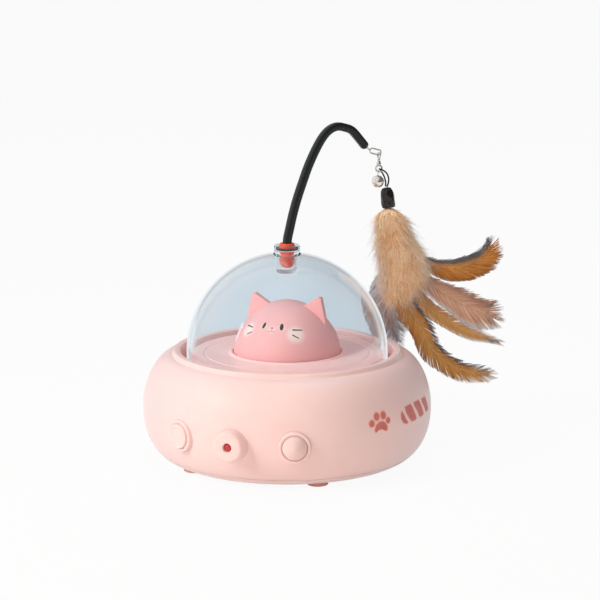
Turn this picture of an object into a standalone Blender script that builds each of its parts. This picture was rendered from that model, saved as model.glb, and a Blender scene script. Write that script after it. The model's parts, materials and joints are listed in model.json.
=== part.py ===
# Cat teaser toy: a weighted base with a motor-driven turntable, a clear dome over a fixed
# cat head, and a springy wand with a bell and a bunch of feathers.
# Metres, +Z up. The origin is the centre of the flat underside, on the turntable's axis.
# The face and the controls look along -Y.

import bpy
import bmesh
import math
from mathutils import Matrix
from mathutils import Vector
from mathutils.geometry import tessellate_polygon

# Fits shared by all pieces
touch_gap = 0.0003
running_gap = 0.0006
backlash = 0.00012
cut_overrun = 0.004

# Housing
body_radius = 0.0833
body_widest_level = 0.030
underside_radius = 0.0628
shoulder_radius = 0.0665
shoulder_level = 0.0598
upper_fullness = 1.85
lower_fullness = 2.2
shell_wall = 0.0022
seam_level = 0.005
lip_height = 0.0027
lip_width = 0.0050
well_radius = 0.0613
well_wall = 0.0018
well_floor_level = 0.050
well_floor_thickness = 0.002
cover_floor = 0.0024

# Feet
foot_radius = 0.006
foot_circle_radius = 0.062
foot_stand = 0.0015
foot_seat_depth = 0.0032
foot_boss_wall = 0.0015
foot_edge = 0.0006
foot_angles = (37, -37, 143, -143)

# Housing screws and their bosses
boss_circle_radius = 0.054
boss_radius = 0.0035
boss_angles = (45, -45, 135, -135)
boss_pad_radius = 0.0045
screw_shank_radius = 0.0011
screw_head_radius = 0.0028
screw_head_height = 0.0014
screw_length = 0.0125
screw_recess = 0.0004
screw_drive_radius = 0.0011
screw_drive_depth = 0.0007

# Fixed post and the cat head on it
post_radius = 0.0059
post_flange_radius = 0.0095
post_flange_thickness = 0.0020
post_socket_height = 0.0090
post_socket_wall = 0.0026
post_head_engagement = 0.018
head_radius = 0.0308
head_rise = 0.0295
head_centre_lift = 0.0010
head_skirt = 0.0022
head_wall = 0.0020
head_fullness = 1.8
head_boss_wall = 0.0028
ear_thickness = 0.0040
ear_tip_half_span = 0.0197
ear_tip_rise = 0.0335
ear_inner_half_span = 0.0106
ear_outer_half_span = 0.0250
ear_root_depth = 0.0010
ear_tip_radius = 0.0016

# Turntable disc, with a recess round the head and a tube that carries the hub gear
disc_level = 0.0603
disc_edge_radius = 0.0554
disc_thickness = 0.0022
disc_neck_radius = 0.0543
disc_neck_height = 0.0022
disc_flange_radius = 0.0579
disc_flange_thickness = 0.0018
disc_ring_radius = 0.0523
recess_gap = 0.0008
recess_floor_level = 0.0532
recess_floor_thickness = 0.0018
bead_height = 0.0009
bead_width = 0.0018
hub_tube_radius = 0.0090
hub_seat_radius = 0.0080
hub_seat_level = 0.0450
hub_groove_depth = 0.0007
hub_groove_height = 0.0014
hub_end_skirt = 0.0011

# Bush between the disc and the well floor
bush_wall = 0.0024
bush_sleeve_length = 0.0035
bush_flange_radius = 0.0150
bush_flange_thickness = 0.0008

# Clear dome with a socket for the wand
dome_radius = 0.058
dome_wall = 0.0021
dome_snap_height = 0.0016
collar_radius = 0.0076
collar_height = 0.0044
collar_mouth_radius = 0.0068
collar_mouth_depth = 0.0030
socket_depth = 0.0096
socket_wall = 0.0018
socket_floor_thickness = 0.0028
seal_wire_radius = 0.0007

# Gears: hub gear, compound gear and motor pinion
hub_gear_teeth = 40
hub_gear_width = 0.0040
small_pinion_teeth = 10
hub_module = 0.0010
wheel_teeth = 40
wheel_width = 0.0028
motor_pinion_teeth = 10
motor_module = 0.00075
wheel_to_clip_gap = 0.0004
pinion_overlap = 0.0004
gear_centre_play = 0.00012
clip_thickness = 0.0008
clip_reach = 0.0025
clip_mouth_angle = 50

# Gear plate, axle and motor
plate_thickness = 0.0030
plate_inner_edge = 0.0120
plate_outer_edge = 0.0570
plate_half_width = 0.0210
plate_corner_radius = 0.0030
plate_post_inner = 0.0165
plate_post_outer = 0.0520
plate_post_offset = 0.0170
plate_post_radius = 0.0030
plate_screw_radius = 0.0009
plate_screw_head_radius = 0.0020
plate_screw_head_height = 0.0013
plate_screw_length = 0.0090
gear_washer_height = 0.0006
gear_washer_radius = 0.0026
axle_radius = 0.0012
axle_head_radius = 0.0024
axle_head_height = 0.0012
motor_radius = 0.0062
motor_length = 0.0225
motor_nose_radius = 0.0022
motor_nose_height = 0.0018
motor_bevel = 0.0005
motor_shaft_radius = 0.00075
motor_shaft_seat = 0.0045

# Front controls, on radial axes
control_level = 0.026
control_angles = {"power": -24, "lamp": 0, "sensor": 24}
bezel_radius = 0.00875
bezel_bore_radius = 0.0072
bezel_back = 0.0022
bezel_edge = 0.0007
power_bezel_proud = 0.0016
sensor_bezel_proud = 0.0024
sleeve_wall = 0.0015
sleeve_reach = 0.0148
small_board_width = 0.0215
small_board_height = 0.0200
board_thickness = 0.0016
button_proud = 0.0029
button_travel = 0.0010
button_flange_width = 0.0012
button_flange_thickness = 0.0014
button_stem_radius = 0.0020
button_edge = 0.0012
button_dish_radius = 0.0052
button_dish_step = 0.0004
switch_width = 0.0060
switch_height = 0.0035
plunger_radius = 0.0012
plunger_length = 0.0025
plunger_seat = 0.0013
boss_lamp_radius = 0.00845
boss_lamp_proud = 0.0070
boss_lamp_wall = 0.0018
boss_lamp_front = 0.0020
boss_lamp_edge = 0.0016
boss_lamp_mouth_radius = 0.0029
boss_lamp_mouth_depth = 0.0009
lamp_radius = 0.0021
lamp_recess = 0.0013
lamp_flange_radius = 0.0038
lamp_flange_thickness = 0.0014
lamp_pipe_radius = 0.0016
led_radius = 0.0022
led_height = 0.0018
sensor_lens_rise = 0.0058
sensor_lens_wall = 0.0011
sensor_lens_skirt = 0.0020
sensor_can_radius = 0.0041
sensor_can_height = 0.0046
sensor_can_flange = 0.0005
sensor_can_flange_height = 0.0006

# Main board, charge socket and battery
main_board_width = 0.0360
main_board_front = 0.0340
main_board_clearance = 0.0093
main_board_level = 0.0146
standoff_radius = 0.0024
standoff_inset = 0.0032
standoff_back_inset = 0.0120
charge_width = 0.0090
charge_height = 0.0032
charge_length = 0.0078
charge_wall = 0.0004
charge_tongue = 0.0008
charge_overhang = 0.0056
charge_corner = 0.0014
chip_size = 0.0080
chip_height = 0.0012
chip_back = 0.0120
plug_header_width = 0.0060
plug_header_depth = 0.0042
plug_header_height = 0.0044
cell_radius = 0.0092
cell_length = 0.0650
cell_offset = 0.0290
cell_edge = 0.0006
cell_button_radius = 0.0030
cell_button_height = 0.0008
strap_width = 0.0100
strap_thickness = 0.0016
strap_foot = 0.0040
lead_radius = 0.00065

# Wand: plug, sprung rod and wire eye, in a vertical plane through the axis
wand_plane_angle = 53.5
plug_radius = 0.0044
plug_length = 0.0149
plug_bore_depth = 0.0050
plug_edge = 0.0008
rod_radius = 0.0024
rod_reach = 0.0528
rod_rise = 0.0656
rod_route_shares = [
    (0.0, -0.055), (0.0, 0.0), (0.008, 0.060), (0.030, 0.128), (0.076, 0.266), (0.133, 0.404),
    (0.201, 0.540), (0.274, 0.676), (0.366, 0.811), (0.452, 0.911), (0.540, 0.974),
    (0.638, 1.0), (0.740, 0.987), (0.840, 0.954), (0.947, 0.867), (1.0, 0.819),
]
wire_radius = 0.00045
eye_stem_length = 0.0066
eye_lean_share = 2.0
eye_length = 0.0080
eye_half_width = 0.00145

# Swivel, snap ring and bell, hanging below the eye
swivel_ring_radius = 0.0015
swivel_pin_length = 0.0030
swivel_barrel_radius = 0.00125
swivel_barrel_length = 0.0036
snap_ring_radius = 0.00185
bell_radius = 0.0036
bell_wall = 0.0004
bell_side_step = 0.0005
bell_loop_radius = 0.0014
bell_loop_wire_radius = 0.00035
bell_slot_width = 0.0008
bell_drop = 0.00574
pellet_radius = 0.0010

# Bunch of feathers: fan directions are measured from the snap ring
fan_angle = 21.5
cord_radius = 0.00050
cord_side_step = 0.00055
cap_radius = 0.0041
cap_length = 0.0120
cap_crown = 0.0030
cap_side = 0.0040
cap_depth = 0.0016
cap_drop = 0.0110
cap_lean_side = 0.0015
cord_size = 0.0100
cord_route_shares = [
    (0.44, 0.08, -1.045), (0.50, 0.03, -0.85), (0.52, -0.08, -0.55), (0.41, -0.17, -0.24),
    (0.19, -0.20, -0.05), (0.03, -0.13, 0.0), (0.0, 0.0, 0.0), (0.0, 0.15, -0.02),
    (0.10, 0.32, -0.16), (0.29, 0.44, -0.52), (0.37, 0.36, -0.85), (0.36, 0.25, -1.045),
]
fan_length = 0.0999
fluff_shares = [
    (0.002, -0.003, 0.030, 0.030), (0.006, -0.040, 0.078, 0.066), (0.020, -0.120, 0.098, 0.078),
    (0.050, -0.215, 0.120, 0.086), (0.080, -0.305, 0.146, 0.090), (0.090, -0.370, 0.150, 0.088),
    (0.072, -0.440, 0.116, 0.070), (0.052, -0.500, 0.070, 0.046), (0.044, -0.535, 0.024, 0.020),
]
fluff_ripple_share = 0.07
fluff_ripples = 5
feather_thickness = 0.0009
feather_shares = {
    "feather_grey": {
        "width": 0.15, "turn": 10,
        "route": [(0.0, -0.36, 0.04), (-0.015, -0.455, 0.10), (-0.01, -0.59, 0.18),
                  (0.03, -0.735, 0.27), (0.08, -0.88, 0.35)],
        "widths": (0.35, 0.85, 1.0, 0.80, 0.12),
    },
    "feather_sickle": {
        "width": 0.11, "turn": -8,
        "route": [(0.05, -0.36, -0.03), (0.10, -0.55, 0.0), (0.179, -0.695, 0.04),
                  (0.265, -0.865, 0.07), (0.398, -0.98, 0.09), (0.54, -1.025, 0.10),
                  (0.615, -1.035, 0.10)],
        "widths": (0.45, 1.0, 1.0, 0.85, 0.80, 0.60, 0.14),
    },
    "feather_slender": {
        "width": 0.072, "turn": 6,
        "route": [(0.08, -0.36, 0.02), (0.14, -0.485, 0.02), (0.225, -0.585, 0.03),
                  (0.34, -0.673, 0.03), (0.475, -0.752, 0.04), (0.666, -0.82, 0.04)],
        "widths": (0.45, 0.95, 1.0, 0.95, 0.80, 0.15),
    },
    "feather_broad": {
        "width": 0.155, "turn": -6,
        "route": [(0.10, -0.33, -0.02), (0.207, -0.428, -0.02), (0.34, -0.515, -0.02),
                  (0.456, -0.585, -0.02), (0.552, -0.624, -0.01), (0.618, -0.663, -0.01)],
        "widths": (0.25, 0.60, 0.95, 1.0, 0.70, 0.15),
    },
    "feather_curled": {
        "width": 0.125, "turn": 12,
        "route": [(0.13, -0.285, 0.01), (0.265, -0.345, 0.01), (0.38, -0.36, 0.01),
                  (0.494, -0.34, 0.02), (0.571, -0.29, 0.02), (0.604, -0.235, 0.02)],
        "widths": (0.35, 0.80, 1.0, 0.95, 0.70, 0.15),
    },
}

# Facets round a turn
coarse_steps = 36
middle_steps = 32
head_steps = 28
small_steps = 14
tiny_steps = 8

# Levels and places that follow from the sizes above
lip_level = shoulder_level + lip_height
sleeve_inner_end = body_radius - sleeve_reach
main_board_back = body_radius - main_board_clearance
recess_radius = head_radius + recess_gap
dome_pole_level = disc_level + dome_radius
dome_base_level = disc_level - disc_thickness - disc_neck_height + touch_gap
plug_top_level = dome_pole_level - socket_depth + touch_gap + plug_length
bush_bore_radius = hub_tube_radius + touch_gap
disc_underside_level = recess_floor_level - recess_floor_thickness
hub_gear_top_level = hub_seat_level - touch_gap
hub_gear_level = hub_gear_top_level - hub_gear_width
groove_top_level = hub_gear_level - touch_gap
groove_level = groove_top_level - hub_groove_height
hub_end_level = groove_level - hub_end_skirt
wheel_level = hub_end_level + wheel_to_clip_gap - wheel_width
plate_level = wheel_level - gear_washer_height - touch_gap - plate_thickness
plate_top_level = plate_level + plate_thickness
axle_distance = hub_module * (hub_gear_teeth + small_pinion_teeth) / 2 + gear_centre_play
motor_distance = (axle_distance + gear_centre_play
                  + motor_module * (wheel_teeth + motor_pinion_teeth) / 2)
motor_top_level = plate_level - touch_gap
post_base_level = cover_floor + touch_gap
cell_level = cover_floor + touch_gap + cell_radius
header_offset = main_board_width / 2 - plug_header_width / 2 - chip_height
post_top_level = disc_level + post_head_engagement
fan_direction = Vector((math.cos(math.radians(fan_angle)), math.sin(math.radians(fan_angle)), 0))
fan_depth = Vector((-fan_direction.y, fan_direction.x, 0))
wand_direction = Vector((math.cos(math.radians(wand_plane_angle)),
                         math.sin(math.radians(wand_plane_angle)), 0))
up = Vector((0, 0, 1))


# Making meshes and objects

def clear_scene():
    for item in list(bpy.data.objects):
        bpy.data.objects.remove(item, do_unlink=True)


def plain_material(name, colour, roughness, metallic=0.0, transmission=0.0):
    material = bpy.data.materials.get(name)
    if material:
        return material
    material = bpy.data.materials.new(name)
    material.use_nodes = True
    shader = material.node_tree.nodes["Principled BSDF"]
    shader.inputs["Base Color"].default_value = (*colour, 1)
    shader.inputs["Roughness"].default_value = roughness
    shader.inputs["Metallic"].default_value = metallic
    shader.inputs["Transmission Weight"].default_value = transmission
    material.diffuse_color = (*colour, 1 - transmission / 2)
    return material


def to_object(mesh_maker, name, material, frame=None):
    mesh = bpy.data.meshes.new(name)
    bmesh.ops.recalc_face_normals(mesh_maker, faces=mesh_maker.faces)
    mesh_maker.to_mesh(mesh)
    mesh_maker.free()
    mesh.materials.append(material)
    mesh.shade_smooth()
    mesh.set_sharp_from_angle(angle=math.radians(35))
    made = bpy.data.objects.new(name, mesh)
    bpy.context.collection.objects.link(made)
    if frame:
        made.matrix_world = frame
    return made


def turned(name, outline, steps, material, frame=None):
    # an outline that starts and ends on the axis is closed by it, any other is a loop
    maker = bmesh.new()
    corners = [maker.verts.new((radius, 0, level)) for radius, level in outline]
    edges = [maker.edges.new(pair) for pair in zip(corners, corners[1:])]
    if outline[0][0] > 0:
        edges.append(maker.edges.new((corners[-1], corners[0])))
    bmesh.ops.spin(maker, geom=corners + edges, axis=(0, 0, 1), cent=(0, 0, 0),
                   angle=math.tau, steps=steps, use_merge=True)
    bmesh.ops.remove_doubles(maker, verts=maker.verts, dist=touch_gap / 100)
    return to_object(maker, name, material, frame)


def slab(name, outer, holes, low, high, material, frame=None):
    maker = bmesh.new()
    loops = [outer] + holes
    triangles = tessellate_polygon([[Vector((x, y, 0)) for x, y in loop] for loop in loops])
    lower = []
    upper = []
    for loop in loops:
        below = [maker.verts.new((x, y, low)) for x, y in loop]
        above = [maker.verts.new((x, y, high)) for x, y in loop]
        for here in range(len(loop)):
            following = (here + 1) % len(loop)
            maker.faces.new((below[here], below[following], above[following], above[here]))
        lower += below
        upper += above
    for corners in triangles:
        maker.faces.new([lower[corner] for corner in corners])
        maker.faces.new([upper[corner] for corner in corners])
    return to_object(maker, name, material, frame)


def circle(radius, steps, centre=(0, 0)):
    turns = [math.tau * step / steps for step in range(steps)]
    return [(centre[0] + radius * math.cos(turn), centre[1] + radius * math.sin(turn))
            for turn in turns]


def rounded_rectangle(width, depth, corner, centre=(0, 0), steps=3):
    points = []
    for quarter in range(4):
        side_x = (1, -1, -1, 1)[quarter]
        side_y = (1, 1, -1, -1)[quarter]
        for step in range(steps + 1):
            turn = math.radians(90) * (quarter + step / steps)
            points.append((
                centre[0] + side_x * (width / 2 - corner) + corner * math.cos(turn),
                centre[1] + side_y * (depth / 2 - corner) + corner * math.sin(turn)))
    return points


def arc(radius, start, end, steps, centre=(0, 0)):
    turns = [math.radians(start + (end - start) * step / steps) for step in range(steps + 1)]
    return [(centre[0] + radius * math.cos(turn), centre[1] + radius * math.sin(turn))
            for turn in turns]


def cylinder(name, radius, low, high, steps, material, frame=None):
    return turned(name, [(0, high), (radius, high), (radius, low), (0, low)],
                  steps, material, frame)


def smooth_route(points, pieces):
    # a rounded path through the points, as a Catmull-Rom curve
    route = []
    ends = [points[0] * 2 - points[1]] + points + [points[-1] * 2 - points[-2]]
    for one, two, three, four in zip(ends, ends[1:], ends[2:], ends[3:]):
        for piece in range(pieces):
            share = piece / pieces
            route.append(0.5 * (two * 2 + (three - one) * share
                                + (one * 2 - two * 5 + three * 4 - four) * share ** 2
                                + (two * 3 - one - three * 3 + four) * share ** 3))
    return route + [points[-1]]


def tube(name, routes, radius, sides, material, closed=False, frame=None):
    # each route is one tube with a ring of sides corners carried along it
    maker = bmesh.new()
    for route in routes:
        count = len(route)
        across = None
        rings = []
        for place, point in enumerate(route):
            before = route[place - 1] if closed or place else point
            after = route[(place + 1) % count] if closed or place < count - 1 else point
            along = (after - before).normalized()
            if across is None:
                across = along.orthogonal().normalized()
            across = (across - along * across.dot(along)).normalized()
            other = along.cross(across)
            rings.append([maker.verts.new(point + radius * (
                across * math.cos(math.tau * side / sides)
                + other * math.sin(math.tau * side / sides))) for side in range(sides)])
        pairs = list(zip(rings, rings[1:]))
        if closed:
            pairs.append((rings[-1], rings[0]))
        else:
            maker.faces.new(rings[0])
            maker.faces.new(rings[-1])
        for ring, following in pairs:
            for side in range(sides):
                beside = (side + 1) % sides
                maker.faces.new((ring[side], ring[beside], following[beside], following[side]))
    return to_object(maker, name, material, frame)


def combine(target, tool, operation):
    modifier = target.modifiers.new(operation.lower(), "BOOLEAN")
    modifier.operation = operation
    modifier.solver = "EXACT"
    modifier.object = tool
    bpy.context.view_layer.update()
    graph = bpy.context.evaluated_depsgraph_get()
    mesh = bpy.data.meshes.new_from_object(target.evaluated_get(graph))
    target.modifiers.clear()
    target.data = mesh
    mesh.set_sharp_from_angle(angle=math.radians(35))
    bpy.data.objects.remove(tool, do_unlink=True)
    return target


def add_to(target, tool):
    return combine(target, tool, "UNION")


def cut_from(target, tool):
    return combine(target, tool, "DIFFERENCE")


def shift(x, y, z):
    return Matrix.Translation((x, y, z))


def front_point(angle, radius, level):
    # angles run round the object from its front
    turn = math.radians(angle)
    return Vector((radius * math.sin(turn), -radius * math.cos(turn), level))


def radial_frame(angle, level):
    # local Z points outwards from the axis and local Y points up
    outward = front_point(angle, 1, 0)
    side = up.cross(outward)
    frame = Matrix((side, up, outward)).transposed().to_4x4()
    frame.translation = (0, 0, level)
    return frame


def standing_ring(centre, across, radius, steps):
    # points of a ring that stands upright, starting at its lowest point
    return [centre + radius * (across * math.sin(math.tau * step / steps)
                               - up * math.cos(math.tau * step / steps))
            for step in range(steps)]


def screw_outline(seat, head_radius, head_height, shank_radius, shank_end, drive_radius,
                  drive_depth):
    # the head stands above seat with a round drive recess, the shank goes down to shank_end
    top = seat + head_height
    return [(0, top - drive_depth), (drive_radius, top - drive_depth), (drive_radius, top),
            (head_radius, top), (head_radius, seat), (shank_radius, seat),
            (shank_radius, shank_end), (0, shank_end)]


# Housing

def swell_curve(wide_radius, tip_radius, wide_level, tip_level, end_level, fullness, steps):
    # from the widest level to end_level along a superellipse
    reach = abs(end_level - wide_level) / abs(tip_level - wide_level)
    last = math.asin(min(reach ** (fullness / 2), 1))
    points = []
    for step in range(steps + 1):
        turn = last * step / steps
        height = math.sin(turn) ** (2 / fullness)
        width = max(math.cos(turn), 0) ** (2 / fullness)
        points.append((tip_radius + (wide_radius - tip_radius) * width,
                       wide_level + (tip_level - wide_level) * height))
    return points


def outer_lower(inset, end_level, steps):
    return swell_curve(body_radius - inset, underside_radius, body_widest_level, inset,
                       end_level, lower_fullness, steps)


def outer_upper(inset, steps):
    top = shoulder_level - inset
    return swell_curve(body_radius - inset, shoulder_radius, body_widest_level, top, top,
                       upper_fullness, steps)


def surface_radius(level):
    return outer_lower(0, level, 1)[-1][0]


def lip_outline():
    # from the shoulder over the rounded lip to the mouth of the well
    foot = shoulder_radius - touch_gap
    crest = well_radius + lip_width / 2
    return [(foot, shoulder_level + lip_height * 0.12),
            (foot - lip_width * 0.10, shoulder_level + lip_height * 0.5),
            (foot - lip_width * 0.25, shoulder_level + lip_height * 0.86),
            (crest, lip_level),
            (well_radius + lip_width * 0.18, lip_level - lip_height * 0.10),
            (well_radius, lip_level - lip_height * 0.45)]


def make_upper_shell(material):
    outer = outer_lower(0, seam_level + touch_gap / 2, 4)
    inner = outer_lower(shell_wall, seam_level + touch_gap / 2, 3)
    bush_hole = bush_bore_radius + bush_wall + touch_gap
    floor_under = well_floor_level - well_floor_thickness
    wall_outside = well_radius + well_wall
    outline = (outer[::-1] + outer_upper(0, 6)[1:] + lip_outline()
               + [(well_radius, well_floor_level), (bush_hole, well_floor_level),
                  (bush_hole, floor_under), (wall_outside, floor_under)]
               + [(wall_outside, shoulder_level - shell_wall)]
               + outer_upper(shell_wall, 4)[::-1] + inner[1:])
    shell = turned("upper_shell", outline, coarse_steps, material)
    envelope_outline = ([(0, 0)] + outer_lower(shell_wall / 2, shell_wall, 4)[::-1]
                        + outer_upper(shell_wall / 2, 4)[1:]
                        + [(0, shoulder_level - shell_wall / 2)])
    hole_radius = bezel_radius + touch_gap
    for angle in control_angles.values():
        frame = radial_frame(angle, control_level)
        sleeve = cylinder("sleeve", hole_radius + sleeve_wall, sleeve_inner_end, body_radius,
                          small_steps + 4, material, frame)
        envelope = turned("envelope", envelope_outline, coarse_steps, material)
        combine(sleeve, envelope, "INTERSECT")
        add_to(shell, sleeve)
    for angle in control_angles.values():
        hole = cylinder("hole", hole_radius, sleeve_inner_end - cut_overrun,
                        body_radius + cut_overrun, small_steps + 4, material,
                        radial_frame(angle, control_level))
        cut_from(shell, hole)
    for angle in boss_angles:
        place = front_point(angle, boss_circle_radius, 0)
        bottom = seam_level + touch_gap
        add_to(shell, cylinder("boss", boss_radius, bottom,
                               well_floor_level - well_floor_thickness / 2, tiny_steps,
                               material, shift(*place)))
        cut_from(shell, cylinder("pilot", screw_shank_radius + touch_gap,
                                 bottom - cut_overrun, screw_length + cut_overrun,
                                 tiny_steps, material, shift(*place)))
    slot_level = main_board_level + board_thickness + touch_gap + charge_height / 2
    slot = slab("slot", rounded_rectangle(charge_width + 2 * touch_gap,
                                          charge_height + 2 * touch_gap,
                                          charge_corner + touch_gap, (0, slot_level)),
                [], -body_radius - cut_overrun, -body_radius + shell_wall + 2 * cut_overrun,
                material, Matrix.Rotation(math.radians(90), 4, "X"))
    return cut_from(shell, slot)


def make_bottom_cover(material):
    edge = seam_level - touch_gap / 2
    outer = outer_lower(0, 0, 6)
    rim = [point for point in outer_lower(0, edge, 3)[-1:]]
    lower = [point for point in outer if point[1] < edge]
    inner = outer_lower(shell_wall, edge, 4)[-1]
    outline = ([(0, cover_floor), (underside_radius - shell_wall, cover_floor), inner]
               + rim + lower + [(0, 0)])
    cover = turned("bottom_cover", outline, coarse_steps, material)
    foot_roof = foot_seat_depth + foot_boss_wall - touch_gap
    for angle in foot_angles:
        place = shift(*front_point(angle, foot_circle_radius, 0))
        add_to(cover, cylinder("foot_boss", foot_radius + touch_gap + foot_boss_wall,
                               cover_floor / 2, foot_roof, small_steps, material, place))
    for angle in boss_angles:
        place = shift(*front_point(angle, boss_circle_radius, 0))
        add_to(cover, cylinder("screw_pad", boss_pad_radius, cover_floor / 2, seam_level,
                               tiny_steps, material, place))
    socket = post_radius + touch_gap
    rim = cover_floor + post_socket_height
    add_to(cover, turned("post_socket", [(socket, cover_floor / 2), (socket, rim),
                                         (socket + post_socket_wall, rim),
                                         (socket + post_socket_wall, cover_floor / 2)],
                         small_steps + 8, material))
    for x in (plate_post_inner, plate_post_outer):
        for y in (-plate_post_offset, plate_post_offset):
            add_to(cover, cylinder("plate_post", plate_post_radius, cover_floor / 2,
                                   plate_level - touch_gap, tiny_steps, material,
                                   shift(x, y, 0)))
    for x, y in plate_screw_places():
        cut_from(cover, cylinder("pilot", plate_screw_radius + touch_gap,
                                 plate_level - plate_screw_length, plate_level,
                                 tiny_steps, material, shift(x, y, 0)))
    for x, y in standoff_places():
        add_to(cover, cylinder("standoff", standoff_radius, cover_floor / 2,
                               main_board_level - touch_gap, tiny_steps, material,
                               shift(x, y, 0)))
    for angle in foot_angles:
        place = shift(*front_point(angle, foot_circle_radius, 0))
        cut_from(cover, cylinder("foot_seat", foot_radius + touch_gap, -cut_overrun,
                                 foot_seat_depth, small_steps, material, place))
    for angle in boss_angles:
        place = shift(*front_point(angle, boss_circle_radius, 0))
        recess = screw_recess + screw_head_height + touch_gap
        bore = turned("bore", [(0, seam_level + cut_overrun),
                               (screw_shank_radius + touch_gap, seam_level + cut_overrun),
                               (screw_shank_radius + touch_gap, recess),
                               (screw_head_radius + touch_gap, recess),
                               (screw_head_radius + touch_gap, -cut_overrun),
                               (0, -cut_overrun)], tiny_steps, material, place)
        cut_from(cover, bore)
    return cover


def make_feet(material):
    top = foot_seat_depth - touch_gap
    outline = [(0, top), (foot_radius, top), (foot_radius, foot_edge - foot_stand),
               (foot_radius - foot_edge, -foot_stand), (0, -foot_stand)]
    for number, angle in enumerate(foot_angles, 1):
        turned("foot_" + str(number), outline, small_steps, material,
               shift(*front_point(angle, foot_circle_radius, 0)))


def make_housing_screws(material):
    # heads look down, out of the cover's recesses
    outline = screw_outline(0, screw_head_radius, screw_head_height, screw_shank_radius,
                            -screw_length, screw_drive_radius, screw_drive_depth)
    level = screw_recess + screw_head_height
    for number, angle in enumerate(boss_angles, 1):
        frame = (shift(*front_point(angle, boss_circle_radius, level))
                 @ Matrix.Rotation(math.pi, 4, "X"))
        turned("housing_screw_" + str(number), outline, tiny_steps, material, frame)


# Post, head and turntable

def make_post(material):
    # the foot stands in the cover's socket and the flange rests on the socket's rim
    rim = cover_floor + post_socket_height + touch_gap
    flange_top = rim + post_flange_thickness
    turned("centre_post", [(0, post_top_level), (post_radius, post_top_level),
                           (post_radius, flange_top), (post_flange_radius, flange_top),
                           (post_flange_radius, rim), (post_radius, rim),
                           (post_radius, post_base_level), (0, post_base_level)],
           small_steps + 8, material)


def head_curve(inset, steps):
    centre = disc_level + head_centre_lift
    return swell_curve(head_radius - inset, 0, centre, centre + head_rise - inset,
                       centre + head_rise - inset, head_fullness, steps)


def make_head(material):
    skirt_level = disc_level - head_skirt + touch_gap
    bore = post_radius + touch_gap
    bore_top = post_top_level + touch_gap
    boss = bore + head_boss_wall
    outer = head_curve(0, 7)
    inner = head_curve(head_wall, 5)
    inside = [point for point in inner if point[0] > boss]
    boss_top = inner[len(inside)][1]
    outline = ([outer[-1]] + outer[-2::-1] + [(head_radius, skirt_level),
                                              (head_radius - head_wall, skirt_level)]
               + inside + [(boss, boss_top), (boss, skirt_level), (bore, skirt_level),
                           (bore, bore_top), (0, bore_top)])
    head = turned("cat_head", outline, head_steps, material)
    root = [point for point in head_curve(ear_root_depth, 24)
            if ear_inner_half_span - ear_root_depth < point[0] < ear_outer_half_span]
    tip = (ear_tip_half_span, disc_level + ear_tip_rise - ear_tip_radius)
    for side in (-1, 1):
        ear = root + arc(ear_tip_radius, 140, 10, 4, tip)
        ear_shape = slab("ear", [(side * x, z) for x, z in ear], [], -ear_thickness / 2,
                         ear_thickness / 2, material, Matrix.Rotation(math.radians(90), 4, "X"))
        add_to(head, ear_shape)
    return head


def make_turntable(material):
    neck_level = disc_level - disc_thickness + dome_snap_height / 4
    flange_top = dome_base_level - touch_gap
    flange_level = flange_top - disc_flange_thickness
    plate_under = disc_level - disc_thickness
    bead_end = recess_radius + bead_width
    bore = post_radius + running_gap
    outline = [(bore, hub_end_level), (bore, recess_floor_level),
               (recess_radius, recess_floor_level), (recess_radius, disc_level),
               (recess_radius + bead_width * 0.3, disc_level + bead_height * 0.85),
               (recess_radius + bead_width * 0.6, disc_level + bead_height * 0.85),
               (bead_end, disc_level), (disc_edge_radius, disc_level),
               (disc_edge_radius, neck_level), (disc_neck_radius, neck_level),
               (disc_neck_radius, flange_top), (disc_flange_radius, flange_top),
               (disc_flange_radius, flange_level), (disc_ring_radius, flange_level),
               (disc_ring_radius, plate_under), (bead_end, plate_under),
               (bead_end, disc_underside_level), (hub_tube_radius, disc_underside_level),
               (hub_tube_radius, hub_seat_level), (hub_seat_radius, hub_seat_level),
               (hub_seat_radius, groove_top_level),
               (hub_seat_radius - hub_groove_depth, groove_top_level),
               (hub_seat_radius - hub_groove_depth, groove_level),
               (hub_seat_radius, groove_level), (hub_seat_radius, hub_end_level)]
    return turned("turntable_disc", outline, middle_steps, material)


def make_bush(material):
    outside = bush_bore_radius + bush_wall
    low = well_floor_level - bush_sleeve_length
    seat = well_floor_level + touch_gap
    top = seat + bush_flange_thickness
    return turned("hub_bush", [(bush_bore_radius, low), (outside, low), (outside, seat),
                               (bush_flange_radius, seat), (bush_flange_radius, top),
                               (bush_bore_radius, top)], small_steps + 8, material)


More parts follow.
